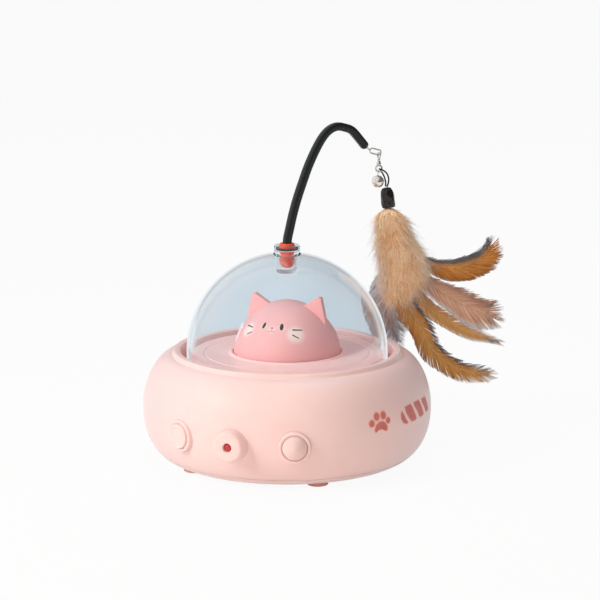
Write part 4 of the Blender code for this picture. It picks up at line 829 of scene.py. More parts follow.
def makeDisc(values):
    level, bore, tube, hub = [values[key] for key in ("level", "bore", "tube", "hub")]
    floor, bead, under = values["recessFloor"], level + values["bead"], level - values["thick"]
    top, low, rest = values["flangeTop"], values["flangeLow"], level - values["grooveDepth"]
    path = roundedPath([(bore, values["tubeLow"]), (bore, floor, 0.0004),
        (values["recess"], floor, 0.0006), (values["recess"], bead, 0.0005),
        (values["beadEnd"] - 0.0003, bead, 0.0007), (values["beadEnd"] + 0.0003, level, 0.0006),
        (values["groove"], level, 0.0008), (values["grooveFloor"], rest, 0.0003),
        (values["grooveFloorEnd"], rest, 0.0003), (values["grooveEnd"], level, 0.0008),
        (values["edge"], level, 0.0006), (values["edge"], under, 0.0004),
        (values["neck"], under + 0.0003), (values["neck"], top), (values["flange"], top, 0.0002),
        (values["flange"], low, 0.0003), (values["ring"], low), (values["ring"], under),
        (values["beadEnd"], under), (values["beadEnd"], values["under"]), (hub, values["under"]),
        (hub, values["hubLow"]), (tube, values["hubLow"]), (tube, values["clipTop"]),
        (values["clipSeat"], values["clipTop"]), (values["clipSeat"], values["clipLow"]),
        (tube, values["clipLow"]), (tube, values["tubeLow"])], 5)
    disc = meshObject(lathe(path, 192, closed=True), "discTop", finishes["disc"])
    dressPiece(disc, "turntable", ["turntable_disc"])


domeSettings = {"radius": 0.058, "wall": 0.0021, "centre": 0.0603, "base": 0.0562,
    "snapRadius": 0.0546, "snapTop": 0.0578, "collar": 0.0076, "collarTop": 0.1227,
    "mouth": 0.0068, "mouthDepth": 0.0030, "socket": 0.0047, "cup": 0.0065,
    "socketFloor": 0.1087, "cupLow": 0.1059}


def makeDome(values):
    centre = (0, values["centre"])
    radius = values["radius"]
    inner = radius - values["wall"]
    pole = values["centre"] + radius
    outerEnd = 90 - math.degrees(math.asin((values["collar"] + 0.0009) / radius))
    innerEnd = 90 - math.degrees(math.asin(values["cup"] / inner))
    seat = values["collarTop"] - values["mouthDepth"]
    outside = arcPath(radius, outerEnd, 0, 48, centre)
    head = roundedPath([(0, values["socketFloor"]),
        (values["socket"], values["socketFloor"], 0.0008), (values["socket"], seat, 0.0003),
        (values["mouth"], seat, 0.0003), (values["mouth"], values["collarTop"], 0.0003),
        (values["collar"], values["collarTop"], 0.0004),
        (values["collar"], pole + 0.0004, 0.0008), outside[0]], 5)
    foot = roundedPath([outside[-1], (radius, values["base"], 0.0005),
        (values["snapRadius"], values["base"], 0.0003),
        (values["snapRadius"], values["snapTop"], 0.0003), (inner, values["snapTop"])], 4)
    inside = arcPath(inner, 0, innerEnd, 44, centre)
    cup = roundedPath([inside[-1], (values["cup"], values["cupLow"] + 0.0012, 0.0012),
        (0.0048, values["cupLow"], 0.0008), (0, values["cupLow"])], 5)
    path = head[:-1] + outside[:-1] + foot + inside[1:-1] + cup
    dome = meshObject(lathe(path, 192), "domeClear", clearPlastic, sharp=50)
    dressPiece(dome, "turntable", ["clear_dome"])
    seal = meshObject(lathe(arcPath(0.0007, 0, 345, 15, (0.00595, 0.1207)), 72, closed=True),
        "sealRing", finishes["rubber"])
    dressPiece(seal, "turntable", ["socket_seal"])


makeDisc(discSettings)
makeDome(domeSettings)
print("disc and dome made")


# Cat head, fixed on the centre post

headSettings = {"radius": 0.0308, "centre": 0.0613, "rise": 0.0295, "fullness": 1.8,
    "skirt": 0.0584, "wall": 0.0020, "bore": 0.0062, "boreTop": 0.0786, "boss": 0.0090,
    "earThick": 0.0040, "earTip": 0.0197, "earTipLevel": 0.0922, "earTipRadius": 0.0016,
    "earInner": 0.0100, "earOuter": 0.0252, "earRound": 0.0006, "earSink": 0.0015}


def headSide(level, values=headSettings):
    return sideAt(max(level - values["centre"], 0), values["rise"], values["radius"], 0,
        values["fullness"])


def headNormal(point, certain=False, values=headSettings):
    power = values["fullness"]
    across = math.hypot(point.x, point.y) / values["radius"]
    rise = max(point.z - values["centre"], 0) / values["rise"]
    if not certain and abs(across ** power + rise ** power - 1) > 0.03:
        return None
    return leaning(Vector((point.x, point.y, 0)).normalized(),
        Vector((across ** (power - 1) / values["radius"], 0,
        rise ** (power - 1) / values["rise"])).normalized())


def makeEar(side, values):
    # a flat plate with its edges rounded, standing across the head
    inner = values["centre"] + values["rise"] - values["earSink"]
    root = [point for point in swellCurve(values["radius"] - values["earSink"], 0,
        values["centre"], inner, inner, values["fullness"], 40)
        if values["earInner"] - 0.001 < point[0] < values["earOuter"]]
    tip = arcPath(values["earTipRadius"], 150, 5, 8, (values["earTip"], values["earTipLevel"]))
    half = values["earThick"] / 2
    maker = prism([(side * x, z) for x, z in root + tip], -half, half)
    bmesh.ops.recalc_face_normals(maker, faces=maker.faces)
    rims = [edge for edge in maker.edges if edge.verts[0].co.y * edge.verts[1].co.y > 0]
    bmesh.ops.bevel(maker, geom=rims, offset=values["earRound"], segments=3, profile=0.5,
        affect="EDGES", clamp_overlap=True)
    return meshObject(maker, "ear", finishes["head"])


def makeHead(values):
    top = values["centre"] + values["rise"]
    outside = swellCurve(values["radius"], 0, values["centre"], top, top, values["fullness"],
        56)[::-1]
    inner = swellCurve(values["radius"] - values["wall"], 0, values["centre"],
        top - values["wall"], top - values["wall"], values["fullness"], 16)
    inside = [point for point in inner if point[0] > values["boss"]]
    bossTop = inner[len(inside)][1]
    rim = roundedPath([outside[-1], (values["radius"], values["skirt"], 0.0005),
        (values["radius"] - values["wall"], values["skirt"], 0.0003), inside[0]], 4)
    path = (outside[:-1] + rim + inside[1:] + [(values["boss"], bossTop),
        (values["boss"], values["skirt"]), (values["bore"], values["skirt"]),
        (values["bore"], values["boreTop"]), (0, values["boreTop"])])
    path[0] = (0, top)
    head = meshObject(lathe(path, 160), "headCat", finishes["head"])
    cutWith(head, [makeEar(side, values) for side in (-1, 1)], "UNION")
    useSurfaceNormals(head, headNormal)
    dressPiece(head, "base", ["cat_head"])


makeHead(headSettings)
print("head made")


# Front controls

controlSettings = {"base": 0.08319, "level": 0.026, "steps": 96, "ringInner": 0.00706,
    "ringOuter": 0.00898, "ringBack": 0.0022, "powerRing": 0.0016, "sensorRing": 0.0024,
    "cap": 0.00698, "capFront": 0.0029, "capFlange": 0.0081, "flangeFront": 0.0025,
    "plunger": 0.0020, "plungerEnd": 0.0735, "bossFront": 0.0070, "mouth": 0.0024,
    "lens": 0.0023, "lensFlange": 0.0038, "pipe": 0.0016, "bulb": 0.0022, "bulbFront": 0.0703,
    "bulbEnd": 0.0685, "spring": 0.0012, "domeRise": 0.0058, "domeHollow": 0.0058,
    "hollowRise": 0.0047, "domeFlange": 0.00845}


def controlPiece(name, path, angle, material, body, replaced, closed=False):
    piece = meshObject(lathe(path, controlSettings["steps"], closed), name, material,
        radialFrame(angle, controlSettings["level"]))
    dressPiece(piece, body, replaced)


def bezelPath(proud, values=controlSettings):
    inner, outer, base = values["ringInner"], values["ringOuter"], values["base"]
    back = base - values["ringBack"]
    return roundedPath([(inner, back), (outer, back), (outer, base + proud, 0.0009),
        (inner, base + proud, 0.0006), (inner, back)], 6)[:-1]


def makePowerButton(values):
    angle, base, cap = controlAngles["power"], values["base"], values["cap"]
    controlPiece("powerRing", bezelPath(values["powerRing"]), angle, finishes["shell"], "base",
        ["power_bezel"], True)
    front, seat = base + values["capFront"], base - values["flangeFront"]
    flange, plunger, end = values["capFlange"], values["plunger"], values["plungerEnd"]
    controlPiece("powerCap", roundedPath([(0, front - 0.0004), (0.0050, front - 0.0004, 0.0008),
        (0.0056, front, 0.0005), (cap, front - 0.0001, 0.0010), (cap, seat), (flange, seat),
        (flange, base - 0.0039), (plunger, base - 0.0039), (plunger, end), (0, end)], 6), angle,
        finishes["shell"], "button", ["power_button"])


def makeLamp(values):
    angle, base, outer = controlAngles["lamp"], values["base"], values["ringOuter"]
    front, back, mouth = base + values["bossFront"], base - values["ringBack"], values["mouth"]
    controlPiece("lampBoss", roundedPath([(0.0067, back), (0.0067, front - 0.0020),
        (mouth, front - 0.0020), (mouth, front - 0.0009), (0.0025, front - 0.0009, 0.0001),
        (0.0026, front, 0.0004), (0.00845, front, 0.0018), (0.00870, base + 0.0010, 0.0006),
        (outer, base - 0.0002), (outer, back)], 7), angle, finishes["shell"], "base",
        ["lamp_boss"], True)
    lens, flange, pipe, bulb = [values[key] for key in ("lens", "lensFlange", "pipe", "bulb")]
    controlPiece("lampLens", roundedPath([(0, front - 0.0004), (0.0014, front - 0.0006, 0.0006),
        (lens, front - 0.0014, 0.0004), (lens, front - 0.0023), (flange, front - 0.0023),
        (flange, front - 0.0037), (pipe, front - 0.0037), (pipe, values["bulbFront"]),
        (bulb, values["bulbFront"]), (bulb, values["bulbEnd"]), (0, values["bulbEnd"])], 5),
        angle, finishes["red"], "base", ["lamp_lens"])


def makeSensor(values):
    angle, base, cap = controlAngles["sensor"], values["base"], values["cap"]
    controlPiece("sensorRing", bezelPath(values["sensorRing"]), angle, finishes["shell"], "base",
        ["sensor_bezel"], True)
    spring, seat = base + values["spring"], base - values["flangeFront"]
    hollow = values["domeHollow"]
    crown, under = spring + values["domeRise"], spring + values["hollowRise"]
    outside = swellCurve(cap, 0, spring, crown, crown, 1.9, 20)[::-1]
    inside = swellCurve(hollow, 0, spring, under, under, 1.9, 8)
    flange, back = values["domeFlange"], base - 0.0045
    controlPiece("sensorLens", outside + [(cap, seat), (flange, seat), (flange, back),
        (hollow, back)] + inside, angle, finishes["lens"], "base",
        ["sensor_lens"])


makePowerButton(controlSettings)
makeLamp(controlSettings)
makeSensor(controlSettings)
print("controls made")


# Prints on the head and the housing, as thin raised sheets

def ellipse(x, y, halfWidth, halfHeight, tilt=0, steps=28):
    turn = math.radians(tilt)
    points = []
    for across, rise in circleSection(steps):
        wide, high = halfWidth * across, halfHeight * rise
        points.append((x + wide * math.cos(turn) - high * math.sin(turn),
            y + wide * math.sin(turn) + high * math.cos(turn)))
    return points


def stroke(start, end, width):
    # a line with round ends that thins slightly towards its end
    first, last = Vector(start), Vector(end)
    along = (last - first).normalized()
    side = Vector((-along.y, along.x)) * width / 2
    points = []
    for centre, size, begin in ((last, 0.7, -90), (first, 1.0, 90)):
        for step in range(9):
            turn = math.radians(begin + 22.5 * step)
            away = along * math.cos(turn) * side.length + side * math.sin(turn)
            points.append(tuple(centre + away * size))
    return points


def printSheet(name, outlines, surface, lift, cell, material, body):
    # each outline is filled, cut into small cells and laid on the surface
    maker = bmesh.new()
    for outline in outlines:
        face = maker.faces.new([maker.verts.new((x, y, 0)) for x, y in outline])
        if face.normal.z < 0:
            face.normal_flip()
    bmesh.ops.triangulate(maker, faces=maker.faces[:])
    for _ in range(6):
        long = [edge for edge in maker.edges if edge.calc_length() > cell]
        if not long:
            break
        bmesh.ops.subdivide_edges(maker, edges=long, cuts=1)
        bmesh.ops.triangulate(maker, faces=[face for face in maker.faces if len(face.verts) > 3])
    low = bmesh.ops.duplicate(maker, geom=maker.faces[:])
    lowVerts = {vert for vert in low["geom"] if isinstance(vert, bmesh.types.BMVert)}
    twin = low["vert_map"]
    rims = [edge for edge in maker.edges if edge.is_boundary and edge.verts[0] not in lowVerts]
    for edge in rims:
        one, two = edge.verts
        maker.faces.new((one, two, twin[two], twin[one]))
    for vert in maker.verts:
        point, normal = surface(vert.co.x, vert.co.y)
        vert.co = point + normal * (-lift if vert in lowVerts else lift)
    sheet = meshObject(maker, name, material, sharp=60)
    dressPiece(sheet, body)


def onHead(across, level):
    return onSide(headSide, headSettings["radius"], across, level)


def onHousing(across, level):
    return onSide(housingSide, housing["bodyRadius"], across, level)


faceSettings = {
    "eyes": [(-0.0072, 0.0796, 0.00125, 0.00155, -14), (0.0073, 0.0795, 0.00145, 0.00160, -14)],
    "nose": [(0.0, 0.0788, 0.0010, 0.00045, 0)],
    "mouth": [((0.0001, 0.0783), (0.0001, 0.0773)), ((-0.0024, 0.0769), (0.0001, 0.0772)),
        ((0.0026, 0.0770), (0.0001, 0.0772))],
    "whiskers": [((-0.0241, 0.0779), (-0.0170, 0.0778)), ((-0.0190, 0.0740), (-0.0156, 0.0755)),
        ((0.0155, 0.0781), (0.0222, 0.0778)), ((0.0152, 0.0756), (0.0190, 0.0738))],
    "lift": 0.00005, "cell": 0.0006, "whisker": 0.00062, "mouthLine": 0.00030,
    "pale": [(-0.0205, 0.0762, 0.0062, 0.8), (0.0172, 0.0758, 0.0070, 0.75),
        (-0.0072, 0.0794, 0.0030, 0.45), (0.0073, 0.0793, 0.0032, 0.45),
        (0.0, 0.0780, 0.0034, 0.45)],
}


def tintNear(material, spots, colour):
    # soft patches of another colour round points of the surface
    tree = material.node_tree
    socket = tree.nodes["Principled BSDF"].inputs["Base Color"]
    shade = socket.links[0].from_socket
    place = objectPlace(tree)
    for point, reach, amount in spots:
        away = addNode(tree, "ShaderNodeVectorMath", {0: place, 1: tuple(point)},
            operation="DISTANCE").outputs["Value"]
        shade = mixColours(tree, spread(tree, away, reach, reach * 0.35, 0.0, amount), shade,
            colour)
    tree.links.new(shade, socket)


def makeFace(values):
    whiskers = [stroke(start, end, values["whisker"]) for start, end in values["whiskers"]]
    mouth = [stroke(start, end, values["mouthLine"]) for start, end in values["mouth"]]
    eyes, nose = [[ellipse(*spot) for spot in values[key]] for key in ("eyes", "nose")]
    for name, outlines, share, ink in (("faceEyes", eyes, 1.0, "eyeInk"),
            ("faceNose", nose, 1.0, "noseInk"), ("faceWhiskers", whiskers, 1.6, "eyeInk"),
            ("faceMouth", mouth, 1.2, "noseInk")):
        printSheet(name, outlines, onHead, values["lift"] * share, values["cell"], finishes[ink],
            "base")
    tintNear(finishes["head"], [(onHead(across, level)[0], reach, amount)
        for across, level, reach, amount in values["pale"]], linear(255, 245, 238))


makeFace(faceSettings)
print("face made")


# A paw and four slanted bars printed on the housing's right side

printSettings = {
    "toes": [(0.0804, 0.0355, 0.0017, 0.0018, 0), (0.0841, 0.0388, 0.0018, 0.0021, 0),
        (0.0889, 0.0388, 0.0018, 0.0021, 0), (0.0921, 0.0355, 0.0015, 0.0016, 0)],
    "pad": [(0.0830, 0.0299), (0.0822, 0.0317), (0.0835, 0.0343), (0.0857, 0.0356),
        (0.0883, 0.0355), (0.0904, 0.0340), (0.0913, 0.0319), (0.0910, 0.0300), (0.0895, 0.0302),
        (0.0873, 0.0315), (0.0851, 0.0314)],
    "bars": [[(0.1046, 0.0383), (0.1058, 0.0362), (0.1073, 0.0334), (0.1094, 0.0312),
        (0.1078, 0.0305), (0.1050, 0.0318), (0.1033, 0.0341), (0.1033, 0.0369)],
        [(0.1080, 0.0399), (0.1141, 0.0403), (0.1158, 0.0372), (0.1191, 0.0313),
        (0.1172, 0.0306), (0.1131, 0.0309), (0.1106, 0.0335), (0.1082, 0.0371)],
        [(0.1177, 0.0404), (0.1245, 0.0403), (0.1262, 0.0377), (0.1295, 0.0314),
        (0.1269, 0.0309), (0.1231, 0.0312), (0.1209, 0.0349), (0.1181, 0.0384)],
        [(0.1284, 0.0400), (0.1351, 0.0399), (0.1368, 0.0375), (0.1394, 0.0322),
        (0.1366, 0.0311), (0.1334, 0.0319), (0.1313, 0.0353), (0.1290, 0.0382)]],
    "lift": 0.00005, "margin": 0.0007, "cell": 0.0012,
}


def grownOutline(outline, margin):
    # moves each corner outward from the outline's middle
    middle = sum((Vector(point) for point in outline), Vector((0, 0))) / len(outline)
    grown = []
    for point in outline:
        away = Vector(point) - middle
        grown.append(tuple(middle + away * (1 + margin / away.length)))
    return grown


def makePrints(values):
    shapes = [ellipse(*toe) for toe in values["toes"]] + [values["pad"]] + values["bars"]
    edges = [grownOutline(shape, values["margin"]) for shape in shapes]
    for name, outlines, share, ink in (("sidePrints", shapes, 2, "print"),
            ("sidePrintEdges", edges, 1, "printEdge")):
        printSheet(name, outlines, onHousing, values["lift"] * share, values["cell"],
            finishes[ink], "base")


makePrints(printSettings)
print("side prints made")


# Wand: plug, rod and wire eye

wandSettings = {"angle": 53.5, "reach": 0.0528, "rise": 0.0656, "startLevel": 0.122808,
    "rodRadius": 0.0024, "plugTop": 0.1239, "plugLow": 0.1090, "plugRadius": 0.0044,
    "wire": 0.00045}
wandShares = [(0.0, -0.055), (0.0, 0.0), (0.008, 0.060), (0.030, 0.128), (0.076, 0.266),
    (0.133, 0.404), (0.201, 0.540), (0.274, 0.676), (0.366, 0.811), (0.452, 0.911),
    (0.540, 0.974), (0.638, 1.0), (0.740, 0.987), (0.840, 0.954), (0.947, 0.867), (1.0, 0.819)]
wandDirection = Vector((math.cos(math.radians(wandSettings["angle"])),
    math.sin(math.radians(wandSettings["angle"])), 0))
fanAngle = 21.5
fanDirection = Vector((math.cos(math.radians(fanAngle)), math.sin(math.radians(fanAngle)), 0))
fanDepth = Vector((-fanDirection.y, fanDirection.x, 0))


def makeWand(values):
    low, top, radius = values["plugLow"], values["plugTop"], values["plugRadius"]
    path = roundedPath([(0, top - 0.0050), (0.00272, top - 0.0050), (0.00272, top, 0.0003),
        (radius, top, 0.0008), (radius, top - 0.0062, 0.0005),
        (radius - 0.0005, top - 0.0068, 0.0004), (radius - 0.0005, top - 0.0076, 0.0004),
        (radius, top - 0.0082, 0.0005), (radius, low + 0.0026, 0.0012)], 5)
    path += arcPath(radius, -24, -90, 12, (0, low + radius))
    path[-1] = (0, low)
    plug = meshObject(lathe(path, 72), "plugOrange", finishes["plug"])
    dressPiece(plug, "wand", ["wand_plug"])
    points = [wandDirection * share * values["reach"]
        + upward * (values["startLevel"] + rise * values["rise"])
        for share, rise in wandShares]
    route = smoothRoute(points, 10)
    slope = (points[-1] - points[-2]).normalized()
    sizes = [values["rodRadius"]] * len(route)
    for step in range(1, 8):
        turn = math.radians(90) * step / 8
        route.append(points[-1] + slope * values["rodRadius"] * 0.8 * math.sin(turn))
        sizes.append(values["rodRadius"] * (0.42 + 0.58 * math.cos(turn)))
    rod = meshObject(sweep(bmesh.new(), route, sizes, squareSection(40, 2.9),
        wandDirection.cross(upward)), "rodBlack", finishes["rod"])
    dressPiece(rod, "wand", ["wand_rod"])
    makeEye(points[-1] + slope * values["rodRadius"] * 0.8, slope, values["wire"])


def makeEye(start, slope, wire):
    # a long oval of wire with its ends twisted round each other at the rod
    dip = (slope + wandDirection * 2).normalized()
    first = start - slope * 0.0006
    near = start + slope * 0.0003 + (slope + dip).normalized() * 0.0033
    far = near + dip * 0.0080
    across = dip.cross(wandDirection.cross(upward)).normalized()
    half = 0.00145
    loop = []
    for centre, begin in ((far - dip * half, -90), (near + dip * half, 90)):
        for step in range(17):
            turn = math.radians(begin + 11.25 * step)
            loop.append(centre + half * (dip * math.cos(turn) + across * math.sin(turn)))
    maker = sweep(bmesh.new(), loop, wire, circleSection(14), closed=True)
    for begin in (0, 180):
        strand = []
        for step in range(33):
            share = step / 32
            turn = math.radians(begin + 700 * share)
            side = across * math.cos(turn) + dip.cross(across) * math.sin(turn)
            strand.append(first + (near + dip * 0.0002 - first) * share + side * wire * 0.62)
        sweep(maker, strand, wire * 0.62, circleSection(10))
    eye = meshObject(maker, "eyeWire", finishes["steel"])
    dressPiece(eye, "wand", ["wand_eye"])


makeWand(wandSettings)
print("wand made")


# Swivel, snap ring and bell

hangPlace = Vector((0.037699, 0.050948, 0.169906))
hangSettings = {"wire": 0.00045, "ring": 0.0015, "ringCentre": 0.169606, "barrelTop": 0.167356,
    "barrelLow": 0.163756, "barrel": 0.00125, "snap": 0.00185, "snapCentre": 0.161906,
    "bellRadius": 0.0036, "bellWall": 0.0004, "bellLevel": 0.154316, "bellSide": 0.0005,
    "bellLoop": 0.0014, "bellWire": 0.00035, "pinLength": 0.0030,
    "bellSlot": 0.0008, "ridge": 0.00012, "ridgeDegrees": 4.0, "loopHook": 0.000970}


def standingRing(centre, across, radius, steps):
    turns = [math.tau * step / steps for step in range(steps)]
    return [centre + radius * (across * math.sin(turn) - upward * math.cos(turn))
        for turn in turns]


def ringOfWire(values, level, across, radius, steps):
    centre = Vector((hangPlace.x, hangPlace.y, 0)) + upward * level
    return sweep(bmesh.new(), standingRing(centre, across, radius, steps), values["wire"],
        circleSection(14), closed=True)


def makeSwivel(values):
    place = Matrix.Translation((hangPlace.x, hangPlace.y, 0))
    wire = values["wire"]
    maker = ringOfWire(values, values["ringCentre"], wandDirection.cross(upward), values["ring"],
        40)
    high = values["ringCentre"] - values["ring"]
    low = high - values["pinLength"]
    pin = roundedPath([(0, high), (wire, high), (wire, low), (0, low)])
    addMesh(maker, lathe(pin, 20), place)
    eye = meshObject(maker, "swivelEye", finishes["steel"])
    dressPiece(eye, "swivel", ["swivel_eye"])
    top, low, radius = values["barrelTop"], values["barrelLow"], values["barrel"]
    barrel = lathe(roundedPath([(0.0007, top - 0.0010), (0.0007, top),
        (radius * 0.72, top, 0.0001), (radius * 0.76, top - 0.0004, 0.0002),
        (radius * 0.66, top - 0.0007, 0.0001), (radius * 0.74, top - 0.0012, 0.0004),
        (radius, low + 0.0012, 0.0005), (radius * 1.12, low + 0.0008, 0.0003),
        (radius * 0.95, low + 0.0001, 0.0004), (0, low - 0.0002)], 4), 40)
    bmesh.ops.holes_fill(barrel, edges=[edge for edge in barrel.edges if edge.is_boundary])
    maker = ringOfWire(values, values["snapCentre"], fanDirection, values["snap"], 48)
    addMesh(maker, barrel, place)
    snap = meshObject(maker, "snapRing", finishes["steel"])
    dressPiece(snap, "snap", ["snap_hook"])


def makeBell(values):
    axis = Vector((hangPlace.x, hangPlace.y, 0)) - fanDirection * values["bellSide"]
    place = Matrix.Translation(axis + upward * values["bellLevel"])
    radius, inside = values["bellRadius"], values["bellRadius"] - values["bellWall"]
    ridge = []
    for turn in range(36, -37, -1):
        angle = math.radians(turn * 2.5)
        swell = values["ridge"] * math.exp(-(turn * 2.5 / values["ridgeDegrees"]) ** 2)
        ridge.append(((radius + swell) * math.cos(angle), (radius + swell) * math.sin(angle)))
    ridge[0], ridge[-1] = (0, radius), (0, -radius)
    inner = arcPath(inside, 90, -90, 36)
    inner[0], inner[-1] = (0, inside), (0, -inside)
    bell = meshObject(lathe(ridge, 72), "bellBall", finishes["silver"], place)
    tools = [meshObject(lathe(inner, 48), "hollow", finishes["silver"], place)]
    for turn in (fanAngle + 45, fanAngle + 135):
        tools.append(boxTool("slot", finishes["silver"],
            place @ turned(turn) @ Matrix.Translation((0, 0, -radius * 1.1)),
            (3 * radius, values["bellSlot"], radius * 1.9)))
        tools += [meshObject(cylinder(values["bellSlot"], 0.001, 0.005, 28), "hole",
            finishes["silver"], place @ turned(turn + side)
            @ Matrix.Translation((0, 0, -radius * 0.12)) @ turned(90, "Y")) for side in (0, 180)]
    cutWith(bell, tools)
    loopTop = values["snapCentre"] - values["loopHook"]
    centre = axis + upward * (loopTop - values["bellLoop"])
    maker = bmesh.new()
    maker.from_mesh(bell.data)
    sweep(maker, standingRing(centre, fanDepth, values["bellLoop"], 40), values["bellWire"],
        circleSection(12), closed=True)
    remove(bell)
    bell = meshObject(maker, "bellBall", finishes["silver"])
    dressPiece(bell, "bell", ["bell_shell"])


makeSwivel(hangSettings)
makeBell(hangSettings)
print("swivel and bell made")


# Cord loop and cap of the bunch

cordSaddle = Vector((0.038211, 0.051149, 0.161666))
cordShares = [(0.44, 0.08, -1.045), (0.50, 0.03, -0.85), (0.52, -0.08, -0.55),
    (0.41, -0.17, -0.24), (0.19, -0.20, -0.05), (0.03, -0.13, 0.0), (0.0, 0.0, 0.0),
    (0.0, 0.15, -0.02), (0.10, 0.32, -0.16), (0.29, 0.44, -0.52), (0.37, 0.36, -0.85),
    (0.36, 0.25, -1.045)]
bunchSettings = {"cordRadius": 0.0005, "cordSize": 0.010, "plies": 3, "twist": 26,
    "capSide": 0.0040, "capDrop": 0.0110, "capDepth": 0.0016, "capLean": 0.0015,
    "capLength": 0.0120, "capRadius": 0.0041, "fanLength": 0.0999}


def fanPoint(origin, side, rise, depth):
    return origin + fanDirection * side + upward * rise + fanDepth * depth


def makeCordAndCap(values):
    points = [fanPoint(cordSaddle, side * values["cordSize"], rise * values["cordSize"],
        depth * values["cordSize"]) for side, depth, rise in cordShares]
    route = smoothRoute(points, 14)
    maker = bmesh.new()
    ply = values["cordRadius"] * 0.54
    across = None
    frames = []
    for place, point in enumerate(route):
        along = courseAt(route, place)
        across = across or along.orthogonal()
        across = (across - along * across.dot(along)).normalized()
        frames.append((point, across.copy(), along.cross(across)))
    for strand in range(values["plies"]):
        line = []
        for place, (point, side, other) in enumerate(frames):
            turn = math.tau * (strand / values["plies"]
                + values["twist"] * place / (len(frames) - 1))
            line.append(point + (side * math.cos(turn) + other * math.sin(turn)) * ply * 0.86)
        sweep(maker, smoothRoute(line, 2), ply, circleSection(8))
    cord = meshObject(maker, "cordLoop", finishes["cord"])
    dressPiece(cord, "bunch", ["cord_loop"])
    top = fanPoint(cordSaddle, values["capSide"], -values["capDrop"], values["capDepth"])
    bottom = top + fanDirection * values["capLean"] - upward * values["capLength"]
    axis = (top - bottom).normalized()
    radius, length = values["capRadius"], values["capLength"]
    path = roundedPath([(0, length - 0.0002), (radius * 0.55, length - 0.0001, 0.0010),
        (radius * 0.90, length - 0.0022, 0.0016), (radius * 0.98, length - 0.0050, 0.0010),
        (radius, 0.0022, 0.0010), (radius * 0.93, 0.0, 0.0006), (radius * 0.7, 0.0004),
        (0, 0.0004)], 7)
    maker = lathe(path, 64)
    bmesh.ops.subdivide_edges(maker, edges=[edge for edge in maker.edges
        if edge.calc_length() > 0.0012], cuts=2, use_grid_fill=True)
    for vert in maker.verts:
        # shrunk sleeve: shallow folds that run down it
        turn = math.atan2(vert.co.y, vert.co.x)
        fold = (0.00007 * math.sin(5 * turn + 900 * vert.co.z)
            + 0.00005 * math.sin(11 * turn - 500 * vert.co.z))
        reach = math.hypot(vert.co.x, vert.co.y)
        if reach > radius * 0.5:
            vert.co.x *= 1 + fold / reach
            vert.co.y *= 1 + fold / reach
    cap = meshObject(maker, "capShrunk", finishes["cap"],
        Matrix.Translation(bottom) @ axis.to_track_quat("Z", "Y").to_matrix().to_4x4(), sharp=60)
    dressPiece(cap, "bunch", ["feather_cap"])
    return bottom


bunchOrigin = makeCordAndCap(bunchSettings)
print("cord and cap made")


# Down and feathers

def makeBarbTint():
    # colour of a barb from how far along the feather and out from the shaft it is
    group, entry, leave, place = newGroup("barbTint",
        {"Core": (0.5, 0.3, 0.1, 1), "Upper Edge": (0.5, 0.5, 0.5, 1),
        "Lower Edge": (0.5, 0.5, 0.5, 1), "Tip": (0.4, 0.4, 0.4, 1), "Edge Start": 0.5,
        "Tip Start": 0.8, "Streak": 0.4, "Shaft": (0.7, 0.6, 0.5, 1)})
    along, across, side, tone = [readValue(group, name)
        for name in ("along", "across", "side", "tone")]
    edge = mixColours(group, spread(group, side, -0.5, 0.5), entry["Lower Edge"],
        entry["Upper Edge"])
    wander = minus(group, noiseAt(group, place, 260.0, 3.0, 0.6), 0.5)
    outer = minus(group, timesPlus(group, wander, 0.5, across), entry["Edge Start"])
    colour = mixColours(group, spread(group, outer, 0.0, 0.35), entry["Core"], edge)
    late = minus(group, timesPlus(group, wander, 0.35, along), entry["Tip Start"])
    colour = mixColours(group, spread(group, late, 0.0, 0.2), colour, entry["Tip"])
    dark = mixColours(group, 1.0, colour, (0.50, 0.42, 0.36, 1), "MULTIPLY")
    streak = times(group, spread(group, tone, 0.25, 0.95), entry["Streak"])
    colour = mixColours(group, streak, colour, dark)
    shaft = mathNode(group, "LESS_THAN", across, 0.002)
    fill(group, leave, {"Colour": mixColours(group, shaft, colour, entry["Shaft"]),
        "Roughness": timesPlus(group, tone, 0.15, 0.5),
        "Height": noiseAt(group, place, 4200.0, 2.0)})
    return group


barbTint = makeBarbTint()


def featherMaterial(name, core, upper, lower, tip, edgeStart, tipStart, streak):
    return skinMaterial(name, barbTint, {"Core": linear(*core), "Upper Edge": linear(*upper),
        "Lower Edge": linear(*lower), "Tip": linear(*tip), "Edge Start": edgeStart,
        "Tip Start": tipStart, "Streak": streak, "Shaft": linear(206, 176, 140)}, 0.00002,
        {"Sheen Weight": 0.25, "Sheen Roughness": 0.4, "Specular IOR Level": 0.25})


